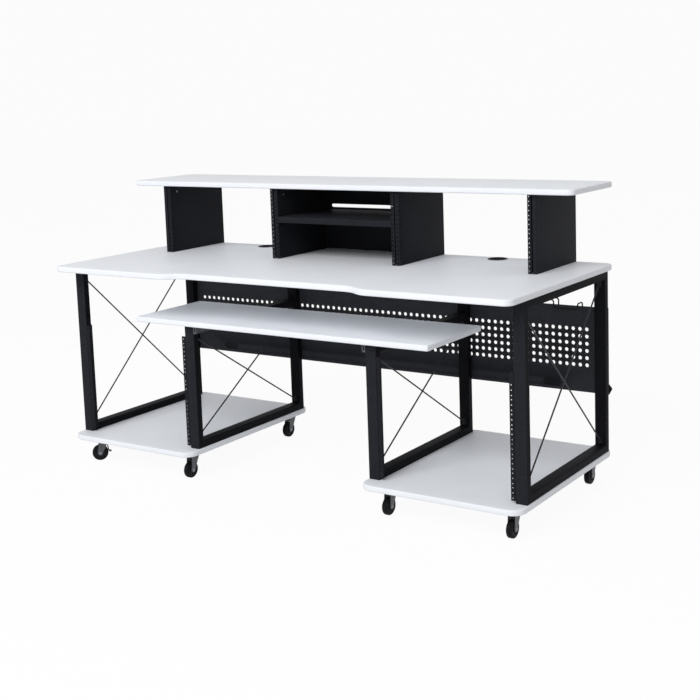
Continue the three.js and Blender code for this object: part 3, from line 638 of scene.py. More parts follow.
# %% Brace rods
ROD, TAB_LENGTH, TAB_WIDTH, TAB_SHEET, TAB_EDGE = 2.6 * MM, 26 * MM, 14 * MM, 3 * MM, 0.8 * MM
TAB_SCREW, SUNK_SHARE = 7 * MM, 0.6
tab_screws = {"front": [], "rear": []}
for node in frame_names:
    brace = node.replace("side_frame", "cross_brace")
    low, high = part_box(brace)
    x = (low.x + high.x) / 2
    bm = bmesh.new()
    heights = (low.z + TAB_LENGTH / 2, high.z - TAB_LENGTH / 2)
    for height in heights:
        tab = oblong(x, height, TAB_WIDTH, TAB_LENGTH)
        slab(bm, facing_y, tab, low.y, low.y + TAB_SHEET, TAB_EDGE)
        slab(bm, facing_y, tab, high.y - TAB_SHEET, high.y, TAB_EDGE)
    for start, end in (heights, heights[::-1]):
        reach = TAB_SHEET * SUNK_SHARE
        line = [(x, low.y + reach, start), (x, high.y - reach, end)]
        sweep(bm, [Vector(point) for point in line], ROD)
    stands_for(mesh_piece(brace + "_rods", bm), satin_black, brace)
    for height, away in zip(heights, (-1, 1)):
        screw_z = height + away * TAB_SCREW
        tab_screws["front"].append(Vector((x, low.y + TAB_SHEET, screw_z)))
        tab_screws["rear"].append(Vector((x, high.y - TAB_SHEET, screw_z)))
print("braces:", len(frame_names), "screws:", sum(len(spots) for spots in tab_screws.values()))

# %% [markdown]
# ## Rack rails and uprights
# Rack equipment is screwed to rows of holes at the standard spacing: three to a unit of 44.45 mm.
# The rails are angles beside the front posts. The hutch uprights are folded boxes that carry the
# same rows on their front faces. Slots in their sides, level with the holes, make room for nuts.

# %% Hole rows
UNIT, STEP, FIRST_HOLE = 44.45 * MM, 15.875 * MM, 8 * MM
RACK_HOLE, RAIL_HOLE, HOLE_STEPS = 2.5 * MM, 2.1 * MM, 16

def hole_heights(low, high):
    heights = []
    base = low + FIRST_HOLE
    while base < high:
        unit = [base + step for step in (0, STEP, 2 * STEP)]
        heights += [height for height in unit if height < high - FIRST_HOLE / 2]
        base += UNIT
    return heights

def drilled_strip(left, right, front, sheet, low, high, column, hole):
    """An upright strip facing the sitter, with one row of rack holes."""
    holes = [circle(column, height, hole, HOLE_STEPS) for height in hole_heights(low, high)]
    return plate(facing_y, rectangle(left, right, low, high), front, front + sheet, 0.0, holes)

print("holes in ten units:", len(hole_heights(0, 10 * UNIT)))

# %% Rack rails
RAIL_SHEET, RAIL_BEND, LEG = 2 * MM, 2 * MM, 1 * MM
for side, row in POSTS:
    node = "rack_rail_%s_%s" % (side, row)
    low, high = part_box(node)
    towards = 1 if (side == "right") == (row == "inner") else -1
    near, far = (low.x, high.x) if towards > 0 else (high.x, low.x)
    middle_y, middle_x = low.y + RAIL_SHEET / 2, near + towards * RAIL_SHEET / 2
    flat = middle_x + towards * (RAIL_BEND + LEG)
    corners = [(flat, middle_y), (middle_x, middle_y), (middle_x, high.y)]
    angle = plate(lying, folded(corners, RAIL_SHEET, RAIL_BEND), low.z, high.z)
    column = (near + towards * RAIL_SHEET + far) / 2
    left, right = sorted((flat, far))
    strip = drilled_strip(left, right, low.y, RAIL_SHEET, low.z, high.z, column, RAIL_HOLE)
    stands_for(mesh_piece(node + "_angle", angle, strip), black_coat, node)
print("holes in a rail:", len(hole_heights(low.z, high.z)))

# %% Hutch uprights
UPRIGHT_SHEET, UPRIGHT_BEND, COLUMN_INSET = 1.5 * MM, 1.5 * MM, 6 * MM
FLANGE_WIDTH, SIDE_STRIP = 14 * MM, 22 * MM
NUT_SLOT_DEPTH, NUT_SLOT_HEIGHT, NUT_SLOT_BACK = 8 * MM, 5.4 * MM, 11 * MM
UPRIGHT_MIDDLE = UPRIGHT_SHEET / 2
FLAT = UPRIGHT_BEND + UPRIGHT_MIDDLE + 0.5 * MM  # from the corner to where the bend has ended

def folded_edge(low, high, edge, inwards, drilled):
    """Bend, side strip and front flange along one front edge of an upright."""
    middle_x, middle_y = edge + inwards * UPRIGHT_MIDDLE, low.y + UPRIGHT_MIDDLE
    corners = [(edge + inwards * FLAT, middle_y), (middle_x, middle_y), (middle_x, low.y + FLAT)]
    bend = plate(lying, folded(corners, UPRIGHT_SHEET, UPRIGHT_BEND), low.z, high.z)
    slot_y = low.y + NUT_SLOT_BACK
    heights = hole_heights(low.z, high.z) if drilled else []
    slots = [oblong(slot_y, height, NUT_SLOT_DEPTH, NUT_SLOT_HEIGHT, 4) for height in heights]
    side_strip = rectangle(low.y + FLAT, low.y + SIDE_STRIP, low.z, high.z)
    between = sorted((edge, edge + inwards * UPRIGHT_SHEET))
    cheek = plate(facing_x, side_strip, *between, 0.0, slots)
    left, right = sorted((edge + inwards * FLAT, edge + inwards * FLANGE_WIDTH))
    if drilled:
        column = edge + inwards * COLUMN_INSET
        face = drilled_strip(left, right, low.y, UPRIGHT_SHEET, low.z, high.z, column, RACK_HOLE)
    else:
        flange = rectangle(left, right, low.z, high.z)
        face = plate(facing_y, flange, low.y, low.y + UPRIGHT_SHEET)
    return [bend, cheek, face]

for side, row in POSTS:
    node = "hutch_upright_%s_%s" % (side, row)
    low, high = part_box(node)
    start, rear = low.y + SIDE_STRIP, high.y - UPRIGHT_MIDDLE
    left, right = low.x + UPRIGHT_MIDDLE, high.x - UPRIGHT_MIDDLE
    corners = [(left, start), (left, rear), (right, rear), (right, start)]
    parts = [plate(lying, folded(corners, UPRIGHT_SHEET, UPRIGHT_BEND), low.z, high.z)]
    for edge, inwards in ((low.x, 1), (high.x, -1)):
        outside = row == "outer" and (inwards > 0) == (side == "left")
        parts += folded_edge(low, high, edge, inwards, not outside)
    stands_for(mesh_piece(node + "_box", *parts), black_coat, node)
print("holes in an upright:", len(hole_heights(low.z, high.z)))

# %% Middle shelf and back panel of the hutch
SHELF_SHEET, SHELF_BEND, FRONT_LIP, REAR_LIP = 1.5 * MM, 3 * MM, 21 * MM, 14 * MM
low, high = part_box("hutch_middle_shelf")
half_sheet = SHELF_SHEET / 2
front, back, level_z = low.y + half_sheet, high.y - half_sheet, high.z - half_sheet
corners = [
    (front, high.z - FRONT_LIP), (front, level_z), (back, level_z), (back, high.z - REAR_LIP)]
shelf = plate(facing_x, folded(corners, SHELF_SHEET, SHELF_BEND, 6), low.x, high.x)
stands_for(mesh_piece("hutch_middle_shelf_sheet", shelf), black_coat, "hutch_middle_shelf")

SLOT_LIFT, SLOT_HEIGHT, SLOT_MARGIN, BACK_EDGE = 7 * MM, 12 * MM, 28 * MM, 0.4 * MM
shelf_top = high.z
low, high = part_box("hutch_back_panel")
slot_z = shelf_top + SLOT_LIFT + SLOT_HEIGHT / 2
slot = oblong((low.x + high.x) / 2, slot_z, high.x - low.x - 2 * SLOT_MARGIN, SLOT_HEIGHT)
outline = rectangle(low.x, high.x, low.z, high.z)
sheet = plate(facing_y, outline, low.y, high.y, BACK_EDGE, [slot], 2)
# The back sheet takes the lighter copy of the coat, with painted light.
stands_for(mesh_piece("hutch_back_sheet", sheet), lit_sheet_black, "hutch_back_panel")
print("shelf and back of the middle bay")

# %% [markdown]
# ## The perforated panel
# A press punches the same hole hundreds of times, so one cell of sheet with one hole in it is
# drawn once and set out on a grid by Geometry Nodes. The cells are welded into one sheet before
# it gets its thickness, so that no walls are left between them. The plain margins, the pads
# pressed back near the lower corners and the folded hem are ordinary sheet round that field.

# %% A node group that sets out cells on a grid
def group_of(name, inputs):
    """A node group with these inputs, given as values, and the identifiers of its sockets."""
    tree = bpy.data.node_groups.new(name, "GeometryNodeTree")
    tree.interface.new_socket("Geometry", in_out="OUTPUT", socket_type="NodeSocketGeometry")
    sockets = {}
    for label, kind in inputs.items():
        socket = tree.interface.new_socket(label, in_out="INPUT", socket_type=kind)
        sockets[label] = socket.identifier
    entry = tree.nodes.new("NodeGroupInput")
    graph = Graph(tree)
    values = {label: Value(graph, entry.outputs[label]) for label in inputs}
    return graph, values, sockets

def close_group(graph, result, finish):
    covered = graph.node(
        "GeometryNodeSetMaterial", {}, {"Geometry": result, "Material": finish.material})
    end = graph.tree.nodes.new("NodeGroupOutput")
    graph.link(end.inputs["Geometry"], covered)

def baked(name, graph, sockets, settings):
    """The plain mesh that a node group gives for these settings."""
    host = bpy.data.objects.new(name + "_host", bpy.data.meshes.new(name + "_host"))
    bpy.context.scene.collection.objects.link(host)
    modifier = host.modifiers.new("layout", "NODES")
    modifier.node_group = graph.tree
    for label, setting in settings.items():
        modifier[sockets[label]] = setting
    evaluated = host.evaluated_get(bpy.context.evaluated_depsgraph_get())
    mesh = bpy.data.meshes.new_from_object(evaluated)
    bpy.data.objects.remove(host)
    return mesh

# %% One cell with its hole, set out and welded into a sheet
HOLE_SIDES, WELD = 14, 1e-5
field, given, field_sockets = group_of("perforated_field", {
    "Columns": "NodeSocketInt", "Rows": "NodeSocketInt", "Pitch": "NodeSocketFloat",
    "Hole Radius": "NodeSocketFloat", "Sheet": "NodeSocketFloat"})
square = field.node("GeometryNodeCurvePrimitiveQuadrilateral", {"mode": "RECTANGLE"},
                    {"Width": given["Pitch"], "Height": given["Pitch"]})
ring = field.node("GeometryNodeCurvePrimitiveCircle", {"mode": "RADIUS"},
                  {"Resolution": HOLE_SIDES, "Radius": given["Hole Radius"]})
both_curves = field.node("GeometryNodeJoinGeometry", {}, {0: [square, ring]})
cell = field.node("GeometryNodeFillCurve", {}, {"Curve": both_curves})
grid = field.node("GeometryNodeMeshGrid", {}, {
    "Size X": (given["Columns"] - 1) * given["Pitch"],
    "Size Y": (given["Rows"] - 1) * given["Pitch"],
    "Vertices X": given["Columns"], "Vertices Y": given["Rows"]})
cells = field.node("GeometryNodeInstanceOnPoints", {}, {"Points": grid, "Instance": cell})
real = field.node("GeometryNodeRealizeInstances", {}, {"Geometry": cells})
sheet = field.node("GeometryNodeMergeByDistance", {}, {"Geometry": real, "Distance": WELD})
thick = field.node("GeometryNodeExtrudeMesh", {"mode": "FACES"}, {
    "Mesh": sheet, "Offset Scale": given["Sheet"], "Individual": False})
under_side = field.node("GeometryNodeFlipFaces", {}, {"Mesh": sheet})
closed = field.node("GeometryNodeJoinGeometry", {}, {0: [thick, under_side]})
welded = field.node("GeometryNodeMergeByDistance", {}, {"Geometry": closed, "Distance": WELD})
close_group(field, welded, lit_sheet_black)
print("field nodes:", len(field.tree.nodes))

# %% The panel
COLUMNS, ROWS, PITCH, HOLE, PANEL_SHEET = 69, 6, 24.5 * MM, 6.5 * MM, 2 * MM
FIRST_ROW, PAD_FROM_END, PAD_LIFT = 94.5 * MM, 206.5 * MM, 13 * MM
PAD_WIDTH, PAD_HEIGHT, PAD_PRESS = 66 * MM, 28 * MM, 3 * MM
HEM_DEPTH, HEM_RISE, HEM_HEIGHT, HEM_GAP, HEM_BEND = 32 * MM, 15 * MM, 36 * MM, 2 * MM, 2.5 * MM

settings = {
    "Columns": COLUMNS, "Rows": ROWS, "Pitch": PITCH, "Hole Radius": HOLE, "Sheet": PANEL_SHEET}
low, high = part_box("modesty_panel")
front, back = low.y, low.y + PANEL_SHEET
field_low = low.z + FIRST_ROW - PITCH / 2
field_middle = field_low + ROWS * PITCH / 2
upright_field = Matrix.Rotation(math.radians(90), 4, "X")
holes_part = bmesh.new()
holes_part.from_mesh(baked("perforated_field", field, field_sockets, settings))
holes_part.transform(Matrix.Translation((0, back, field_middle)) @ upright_field)
print("field faces:", len(holes_part.faces))

# %% Margins with two pads, and the hem
half_field = COLUMNS * PITCH / 2
sheet_low = low.z + PANEL_SHEET / 2 + 2 * HEM_BEND
outline = rectangle(low.x, high.x, sheet_low, high.z)
window = rectangle(-half_field, half_field, field_low, field_low + ROWS * PITCH)
pad_x, pad_z = high.x - PAD_FROM_END, low.z + PAD_LIFT + PAD_HEIGHT / 2
pads = [oblong(sign * pad_x, pad_z, PAD_WIDTH, PAD_HEIGHT) for sign in (-1, 1)]
through = [(0.0, front), (0.0, back)]
press = [
    (PAD_PRESS * (1 - math.cos(angle)), PAD_PRESS * math.sin(angle)) for angle in quarter_turn(4)]
margins = bmesh.new()
rims = [
    stack(margins, facing_y, outline, through), stack(margins, facing_y, window, through, -1)]
faces = {front: [rings[0] for rings in rims], back: [rings[-1] for rings in rims]}
for pad in pads:
    for face, loops in faces.items():
        layers = [(inset, face + depth) for inset, depth in press]
        rings = stack(margins, facing_y, counter_clockwise(pad), layers)
        loops.append(rings[0])
        cap(margins, facing_y, rings[-1:])
for loops in faces.values():
    cap(margins, facing_y, loops)

middle_y = front + PANEL_SHEET / 2
apex = front + HEM_DEPTH - PANEL_SHEET / 2
hem_line = [
    (middle_y, sheet_low), (middle_y, low.z + PANEL_SHEET / 2), (apex, low.z + HEM_RISE),
    (front + 1.5 * PANEL_SHEET + HEM_GAP, low.z + HEM_HEIGHT - PANEL_SHEET / 2)]
hem = plate(facing_x, folded(hem_line, PANEL_SHEET, HEM_BEND, 5), low.x, high.x)
# The panel takes the lighter copy of the coat, with painted light.
whole_panel = mesh_piece("modesty_panel_sheet", holes_part, margins, hem)
panel = stands_for(whole_panel, lit_sheet_black, "modesty_panel")
print("panel faces:", len(panel.data.polygons))

# %% [markdown]
# ## Cable rails
# One wire, bent over formers: a loop over the panel's top edge, a run in front of the panel and a
# hook over the edge again. A bend in wire is a true arc, so the path is straight runs with arcs
# between them.

# %% Cable rails
WIRE, WIRE_BEND = 2.5 * MM, 9 * MM
RAIL_LENGTH, RAIL_SPREAD, RAIL_RISE, RAIL_FROM_END = 110 * MM, 40 * MM, 15 * MM, 305.5 * MM
RUN_DROP, TAIL_DROP, HOOK_SPACING, HOOK_RISE = 14 * MM, 28 * MM, 87 * MM, 7 * MM
panel_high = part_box("modesty_panel")[1]
for word, sign in (("left", -1), ("right", 1)):
    node = "cable_rail_" + word
    low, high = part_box(node)
    near, far, top_z = low.y + WIRE, low.y + WIRE + RAIL_SPREAD, panel_high.z
    start = sign * (panel_high.x - RAIL_FROM_END)
    outer = start + sign * RAIL_LENGTH
    hook = outer + sign * HOOK_SPACING
    loop_z, run_z, hook_z, tail_z = [
        top_z + rise for rise in (RAIL_RISE, -RUN_DROP, HOOK_RISE, -TAIL_DROP)]
    corners = [
        (outer, far, tail_z), (outer, far, loop_z), (start, far, loop_z), (start, near, loop_z),
        (outer, near, loop_z), (outer, near, run_z), (hook, near, run_z), (hook, near, hook_z),
        (hook, far, hook_z), (hook, far, tail_z)]
    bends = [0] + [WIRE_BEND] * (len(corners) - 2) + [0]
    bm = bmesh.new()
    sweep(bm, rounded(corners, bends, 6), WIRE)
    stands_for(mesh_piece(node + "_wire", bm), satin_black, node)
print("cable rails hang on the panel")

# %% [markdown]
# ## Casters
# A swivel caster is three things on two axes: a plate with its race and kingpin, a pressed fork
# that turns about the pin, and a wheel on its axle. The fork is one strip folded over the wheel,
# wide at the crown and narrowing to an eye round the axle, with a small guard between its legs.

# %% Sizes shared by the casters
BOARD_UNDERSIDE = 95 * MM
PLATE_HALF, PLATE_SHEET, RACE_RADIUS, RACE_HEIGHT = 25 * MM, 2.5 * MM, 18 * MM, 7 * MM
CROWN_SHEET, CROWN_HALF, SHOULDER, EYE = 2.5 * MM, 19 * MM, 9.5 * MM, 9 * MM
TRAIL, WHEEL, TREAD_HALF, HUB_HALF, AXLE = 16 * MM, 29 * MM, 9.5 * MM, 10.7 * MM, 4 * MM
LEG_INNER, LEG_SHEET, AXLE_END = HUB_HALF + PLAY, 2 * MM, 1.5 * MM
axle_z = WHEEL - BOARD_UNDERSIDE
crown_top = -PLAY - PLATE_SHEET - RACE_HEIGHT - PLAY
crown_low = crown_top - CROWN_SHEET
TURNED = {"caster_front_left_outer": math.radians(-45)}
casters = sorted(node[:-len("_plate")] for node in frame["nodes"] if node.endswith("_plate"))
caster_places = {}
for caster in casters:
    low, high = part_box(caster + "_plate")
    middle = (low + high) / 2
    caster_places[caster] = Matrix.Translation((middle.x, middle.y, BOARD_UNDERSIDE))
print("casters:", len(casters))

# %% Plates with race and kingpin
PLATE_CORNER, PLATE_EDGE, PLATE_SCREW_INSET = 6 * MM, 0.6 * MM, 6.5 * MM
PIN, PIN_HEAD, PIN_HEAD_RISE = 5 * MM, 8 * MM, 2.5 * MM
RACE_LAP, RACE_STEP, STEP_HIGH, STEP_LOW = 1 * MM, 1.2 * MM, 3 * MM, 2.4 * MM
under = -PLAY - PLATE_SHEET
race_low = crown_top + PLAY
head_top = crown_low - PLAY
section = [
    (0.0, under + RACE_LAP), (RACE_RADIUS, under + RACE_LAP), (RACE_RADIUS, race_low + STEP_HIGH),
    (RACE_RADIUS - RACE_STEP, race_low + STEP_LOW), (RACE_RADIUS - RACE_STEP, race_low),
    (PIN, race_low), (PIN, head_top), (PIN_HEAD, head_top),
    (PIN_HEAD, head_top - PIN_HEAD_RISE), (0.0, head_top - PIN_HEAD_RISE)]
section_rounds = [0, 1.5 * MM, 0.6 * MM, 0.3 * MM, 1 * MM, 0, 0, 0, 1.6 * MM, 0]
soft_race = rounded(section, section_rounds, 3)
square = rectangle(-PLATE_HALF, PLATE_HALF, -PLATE_HALF, PLATE_HALF)
outline = rounded(square, PLATE_CORNER, 5)
spread = PLATE_HALF - PLATE_SCREW_INSET
plate_screws = []
for caster, place in caster_places.items():
    flange = plate(lying, outline, under, -PLAY, PLATE_EDGE, (), 2)
    race = revolve(flat_profile(soft_race))
    stands_for(mesh_piece(caster + "_mount", flange, race, place=place), zinc, caster + "_plate")
    plate_screws += [
        place @ Vector((x, y, under)) for x in (-spread, spread) for y in (-spread, spread)]
print("plate screws:", len(plate_screws))

# %% Forks
FORK_BEND, AXLE_HEAD, HEAD_ROUND = 4 * MM, 6 * MM, 1.1 * MM

def fork_edges(z):
    """Front and back of the folded strip at one height."""
    if z <= axle_z:
        half = math.sqrt(max(EYE ** 2 - (axle_z - z) ** 2, 0.0))
        return -TRAIL - half, -TRAIL + half
    share = (z - axle_z) / (crown_top - axle_z)
    front = (-TRAIL - EYE) * (1 - share) - CROWN_HALF * share
    back_share = min((z - axle_z) / (crown_low - SHOULDER - axle_z), 1.0)
    return front, (-TRAIL + EYE) * (1 - back_share) + CROWN_HALF * back_share

def fork_strip():
    side, crown_z = LEG_INNER + LEG_SHEET / 2, crown_top - CROWN_SHEET / 2
    eye = [axle_z - EYE * math.cos(angle) for angle in quarter_turn(6)[:-1]]
    arch = rounded([(-side, axle_z), (-side, crown_z), (side, crown_z), (side, axle_z)],
                   [0, FORK_BEND, FORK_BEND, 0], 5)
    line = [Vector((-side, z, 0)) for z in eye] + arch + [Vector((side, z, 0)) for z in eye[::-1]]
    run = [2 * line[0] - line[1]] + line + [2 * line[-1] - line[-2]]
    bm = bmesh.new()
    grids = []
    for sign in (1, -1):
        rows = []
        for middle, point in zip(line, offset(run, sign * LEG_SHEET / 2)[1:-1]):
            rows.append([bm.verts.new((point.x, y, point.y)) for y in fork_edges(middle.y)])
        for lower, upper in zip(rows, rows[1:]):
            bm.faces.new((lower[0], lower[1], upper[1], upper[0]))
        grids.append(rows)
    for edge in (0, 1):
        outer, inner = [[row[edge] for row in rows] for rows in grids]
        for index in range(len(line) - 1):
            bm.faces.new((outer[index], outer[index + 1], inner[index + 1], inner[index]))
    return bm

def fork_axle():
    outer = LEG_INNER + LEG_SHEET
    reach = outer + AXLE_END
    pin = [
        (0, -reach), (AXLE_HEAD, -reach), (AXLE_HEAD, -outer), (AXLE, -outer), (AXLE, outer),
        (AXLE_HEAD, outer), (AXLE_HEAD, reach), (0, reach)]
    soft_pin = rounded(pin, [0, HEAD_ROUND, 0, 0, 0, 0, HEAD_ROUND, 0], 3)
    across = Matrix.Translation((0, -TRAIL, axle_z)) @ SIDEWAYS
    return revolve(flat_profile(soft_pin), across, 24)

# %% Thread guards, and the forks with them
GUARD_DROP, GUARD_SHEET, GUARD_EDGE = 20 * MM, 1.6 * MM, 0.3 * MM

def thread_guard():
    """A plate between the legs that keeps threads out of the space above the wheel."""
    top, foot = crown_low - PLAY, crown_low - GUARD_DROP
    top_y, foot_y = fork_edges(top)[0], fork_edges(foot)[0]
    corners = [
        (top_y + GUARD_SHEET, top), (top_y, top), (foot_y, foot), (foot_y + GUARD_SHEET, foot)]
    outline = [Vector(corner).to_3d() for corner in corners]
    return plate(facing_x, outline, -LEG_INNER, LEG_INNER, GUARD_EDGE, (), 2)

swivel_places = {}
for caster, place in caster_places.items():
    swivel = place @ Matrix.Rotation(TURNED.get(caster, 0.0), 4, "Z")
    swivel_places[caster] = swivel
    fork = mesh_piece(caster + "_pressed_fork", fork_strip(), place=swivel)
    stands_for(fork, grey_paint, caster + "_fork")
    body = body_of_node[caster + "_fork"]
    finished(mesh_piece(caster + "_axle", fork_axle(), place=swivel), zinc, body)
    finished(mesh_piece(caster + "_guard", thread_guard(), place=swivel), plastic, body)
print("forks:", len(casters))

# %% Wheels: a rubber tread round a moulded hub
HUB_RADIUS, DISH, BOSS, RIM_WALL, HUB_LAP = 19 * MM, 2.2 * MM, 8 * MM, 2 * MM, 0.2 * MM
TREAD_TAPER, TREAD_ROUND = 0.6 * MM, 4 * MM
SPOKES, SPOKE_HALF, SPOKE_SUNK, SPOKE_EDGE = 6, 1.3 * MM, 0.4 * MM, 0.4 * MM
SPOKE_FROM, SPOKE_TO = BOSS * 0.8, HUB_RADIUS - 1.5 * MM
bore = AXLE + PLAY
seat_half = TREAD_HALF - TREAD_TAPER
tread = [
    (HUB_RADIUS, -seat_half), (WHEEL, -TREAD_HALF), (WHEEL, TREAD_HALF), (HUB_RADIUS, seat_half)]
soft_tread = rounded(tread, [0, TREAD_ROUND, TREAD_ROUND, 0], 6)
rim = HUB_RADIUS - RIM_WALL
hub = [(bore, -HUB_HALF), (BOSS, -HUB_HALF), (BOSS, -TREAD_HALF + DISH),
       (rim, -TREAD_HALF + DISH), (rim, -TREAD_HALF), (HUB_RADIUS + HUB_LAP, -TREAD_HALF)]
hub += [(radius, -height) for radius, height in hub[::-1]]
half_rounds = [0, 0.6 * MM, 0.8 * MM, 0.8 * MM, 0.5 * MM, 0]
soft_hub = rounded(hub, half_rounds + half_rounds[::-1], 2)
spoke_outline = rectangle(SPOKE_FROM, SPOKE_TO, -SPOKE_HALF, SPOKE_HALF)
half_spoke = TREAD_HALF - SPOKE_SUNK
for caster in casters:
    body = body_of_node[caster + "_wheel"]
    centre = Matrix.Translation((0, -TRAIL, axle_z))
    wheel_place = swivel_places[caster] @ centre @ SIDEWAYS
    tread_ring = revolve(flat_profile(soft_tread), None, 48)
    tyre = mesh_piece(caster + "_tread", tread_ring, place=wheel_place)
    stands_for(tyre, rubber, caster + "_wheel")
    wheel_hub = revolve(flat_profile(soft_hub), None, 36)
    for spoke in range(SPOKES):
        about = Matrix.Rotation(math.radians(360 / SPOKES * spoke), 3, "Z")
        turned_outline = [about @ point for point in spoke_outline]
        slab(wheel_hub, lying, turned_outline, -half_spoke, half_spoke, SPOKE_EDGE, (), 2)
    finished(mesh_piece(caster + "_hub", wheel_hub, place=wheel_place), plastic, body)
print("wheels:", len(casters))

# %% Brake pedal
PEDAL_HALF, PEDAL_SHEET, PEDAL_BEND, PEDAL_EDGE = 9 * MM, 3 * MM, 4 * MM, 0.5 * MM
PEDAL_PIN, PIN_BACK, PIN_BELOW_CROWN = 2 * MM, 10 * MM, 16 * MM
PEDAL_STRAIGHT, PEDAL_DROP, PEDAL_REACH, PEDAL_TOE = 8 * MM, 36 * MM, 6 * MM, 7 * MM
caster = "caster_front_left_outer"
pin_z = crown_low - PIN_BELOW_CROWN
foot = pin_z - PEDAL_DROP + PEDAL_SHEET / 2
tip = PIN_BACK + PEDAL_REACH
line = [
    (PIN_BACK, pin_z + PEDAL_PIN), (PIN_BACK, pin_z - PEDAL_STRAIGHT), (tip, foot),
    (tip + PEDAL_SHEET / 2 + PEDAL_TOE, foot)]
section = folded(line, PEDAL_SHEET, PEDAL_BEND, 5)
strip = plate(facing_x, section, -PEDAL_HALF, PEDAL_HALF, PEDAL_EDGE, (), 2)
reach = LEG_INNER + LEG_SHEET + AXLE_END
across = Matrix.Translation((0, PIN_BACK, pin_z)) @ SIDEWAYS
pin_profile = [(0, -reach), (PEDAL_PIN, -reach), (PEDAL_PIN, reach), (0, reach)]
pin = revolve(pin_profile, across, 16)
pedal = mesh_piece(caster + "_pedal_strip", strip, pin, place=swivel_places[caster])
stands_for(pedal, grey_paint, caster + "_brake_pedal")
print("pedal on", body_of_node[caster + "_brake_pedal"])

# %% [markdown]
# ## Screws
# A screw is drawn once and set out on points by the same kind of node group. Its head is a low
# dome with a cross cut in it.

# %% A node group that puts one small shape on every point
def set_out(name, shape, spots, turn, finish, body):
    """One piece with a copy of the shape on every spot, turned by three angles."""
    points = bpy.data.meshes.new(name + "_spots")
    points.from_pydata([tuple(spot) for spot in spots], [], [])
    marks = bpy.data.objects.new(name + "_spots", points)
    model = bpy.data.objects.new(name + "_shape", shape)
    for helper in (marks, model):
        bpy.context.scene.collection.objects.link(helper)
    graph, given, sockets = group_of(name, {
        "Spots": "NodeSocketObject", "Shape": "NodeSocketObject", "Turn": "NodeSocketVector"})
    places = graph.node("GeometryNodeObjectInfo", {}, {"Object": given["Spots"]}, output="Geometry")
    drawn = graph.node("GeometryNodeObjectInfo", {}, {"Object": given["Shape"]}, output="Geometry")
    turned = graph.node("FunctionNodeEulerToRotation", {}, {"Euler": given["Turn"]})
    copies = graph.node("GeometryNodeInstanceOnPoints", {}, {
        "Points": places, "Instance": drawn, "Rotation": turned})
    close_group(graph, graph.node("GeometryNodeRealizeInstances", {}, {"Geometry": copies}), finish)
    mesh = baked(name, graph, sockets, {"Spots": marks, "Shape": model, "Turn": turn})
    for helper in (marks, model):
        bpy.data.objects.remove(helper)
    piece = bpy.data.objects.new(name, mesh)
    bpy.context.scene.collection.objects.link(piece)
    return finished(piece, finish, body)

# %% The head of a screw, drawn in shares of its radius and rise
HEAD_SIDES, HEAD_SUNK = 16, 0.2 * MM
DOME_TOP, DOME_SKIRT = 0.55, 0.45
CROSS_ARM, CROSS_HALF, CROSS_TAPER, CROSS_FLOOR = 0.42, 0.1, 0.8, 0.35

def head_ring(bm, radius, height):
    return [bm.verts.new((spot.x, spot.y, height)) for spot in circle(0, 0, radius, HEAD_SIDES)]

def screw_head(radius, rise):
    """A pan head whose top looks along the z axis, with a cross slot sunk in it."""
    bm = bmesh.new()
    rings = [head_ring(bm, radius, -HEAD_SUNK)]
    for angle in quarter_turn(4)[:-1]:
        reach = radius * (DOME_TOP + DOME_SKIRT * math.cos(angle))
        rings.append(head_ring(bm, reach, rise * math.sin(angle)))
    for lower, upper in zip(rings, rings[1:]):
        wall(bm, lower, upper)
    arm, half = radius * CROSS_ARM, radius * CROSS_HALF
    cross = [
        (arm, -half), (arm, half), (half, half), (half, arm), (-half, arm), (-half, half),
        (-arm, half), (-arm, -half), (-half, -half), (-half, -arm), (half, -arm), (half, -half)]
    lip = [bm.verts.new((x, y, rise)) for x, y in cross]
    slot_floor = [
        bm.verts.new((x * CROSS_TAPER, y * CROSS_TAPER, rise * CROSS_FLOOR)) for x, y in cross]
    wall(bm, lip, slot_floor)
    bm.faces.new(slot_floor)
    cap(bm, lying, [rings[-1], lip])
    bm.faces.new(rings[0])
    return cleaned(bm)

# %% Screws under the caster plates, in the uprights and on the brace tabs
PLATE_HEAD, UPRIGHT_HEAD, TAB_HEAD = (4 * MM, 1.6 * MM), (4.5 * MM, 1.5 * MM), (3.8 * MM, 1.5 * MM)
SCREW_INSET, SCREW_BELOW = 39 * MM, 24 * MM
QUARTER = math.radians(90)
set_out("plate_screws", screw_head(*PLATE_HEAD), plate_screws, (math.pi, 0, 0), steel, "desk")
LOOKING = {
    "left": (("right_inner", "right_outer"), -QUARTER),
    "right": (("left_outer", "left_inner"), QUARTER),
}
for word, (names, angle) in LOOKING.items():
    spots = []
    for name in names:
        low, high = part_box("hutch_upright_" + name)
        x, z = high.x if word == "right" else low.x, high.z - SCREW_BELOW
        spots += [Vector((x, y, z)) for y in (low.y + SCREW_INSET, high.y - SCREW_INSET)]
    heads = screw_head(*UPRIGHT_HEAD)
    set_out("upright_screws_" + word, heads, spots, (0, angle, 0), zinc, "desk")
for word, angle in (("front", -QUARTER), ("rear", QUARTER)):
    spots = tab_screws[word]
    set_out("tab_screws_" + word, screw_head(*TAB_HEAD), spots, (angle, 0, 0), satin_black, "desk")
print("screws set out")

# %% [markdown]
# ## Floor and light
# The studio is a white sweep. The floor takes the desk's shadow softly, and the camera and any
# gloss see white behind everything. One wide soft box, high in front, lights the tops and the
# front edges, and the room's even light fills the rest.

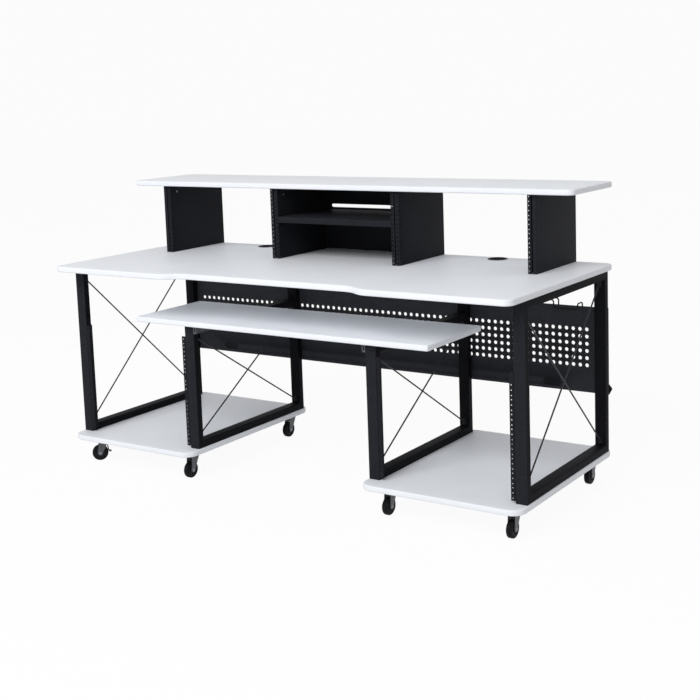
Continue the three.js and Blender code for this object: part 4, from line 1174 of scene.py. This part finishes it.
# %% Floor
FLOOR_HALF, FLOOR_PAINT, WHITE, GLOW_SHARE = 40, tone(0.86, 0.86, 0.86), tone(1, 1, 1), 0.94
SEEN_RAYS = ("Is Camera Ray", "Is Glossy Ray", "Is Transmission Ray")
bm = bmesh.new()
bmesh.ops.create_grid(bm, x_segments=2, y_segments=2, size=FLOOR_HALF)
floor = mesh_piece("studio_floor", bm)
sweep_white = Finish("studio_floor", None)
sweep_white.set("Base Color", FLOOR_PAINT)
sweep_white.set("Roughness", 0.9)
rays = sweep_white.tree.nodes.new("ShaderNodeLightPath")
camera_ray, glossy_ray, through_ray = [Value(sweep_white, rays.outputs[name]) for name in SEEN_RAYS]
seen = camera_ray + glossy_ray + through_ray
glow = sweep_white.node("ShaderNodeEmission", {}, {"Color": WHITE, "Strength": 1.0})
painted = Value(sweep_white, sweep_white.shader.outputs[0])
mix = sweep_white.node("ShaderNodeMixShader", {}, {0: seen * GLOW_SHARE, 1: painted, 2: glow})
sweep_white.link(sweep_white.tree.nodes["Material Output"].inputs["Surface"], mix)
floor.data.materials.append(sweep_white.material)
print("floor nodes:", len(sweep_white.tree.nodes))

# %% World
LIGHT_LEVEL, SEEN_LEVEL = 0.47, 0.968
world = bpy.data.worlds.new("white_studio")
bpy.context.scene.world = world
world.use_nodes = True
sky = Graph(world.node_tree)
rays = sky.tree.nodes.new("ShaderNodeLightPath")
camera_ray, glossy_ray, through_ray = [Value(sky, rays.outputs[name]) for name in SEEN_RAYS]
either = camera_ray.maths("MAXIMUM", camera_ray, glossy_ray)
either = either.maths("MAXIMUM", either, through_ray)
background = sky.tree.nodes["Background"]
background.inputs["Color"].default_value = WHITE
sky.link(background.inputs["Strength"], either * (SEEN_LEVEL - LIGHT_LEVEL) + LIGHT_LEVEL)
print("room light:", LIGHT_LEVEL, "as seen:", SEEN_LEVEL)

# %% The soft box
BOX_PLACE, BOX_TARGET = Vector((0.2, -5.5, 4.9)), Vector((0, 0, 0.5))
BOX_WIDTH, BOX_HEIGHT, BOX_WATTS = 5.6, 3.2, 365
light = bpy.data.lights.new("key_box", "AREA")
light.shape = "RECTANGLE"
light.size, light.size_y = BOX_WIDTH, BOX_HEIGHT
light.energy = BOX_WATTS
lamp = bpy.data.objects.new("key_box", light)
bpy.context.scene.collection.objects.link(lamp)
lamp.location = BOX_PLACE
lamp.rotation_euler = (BOX_TARGET - BOX_PLACE).to_track_quat("-Z", "Y").to_euler()
bpy.context.scene.view_settings.view_transform = "Standard"
print("lights:", len(bpy.data.lights))
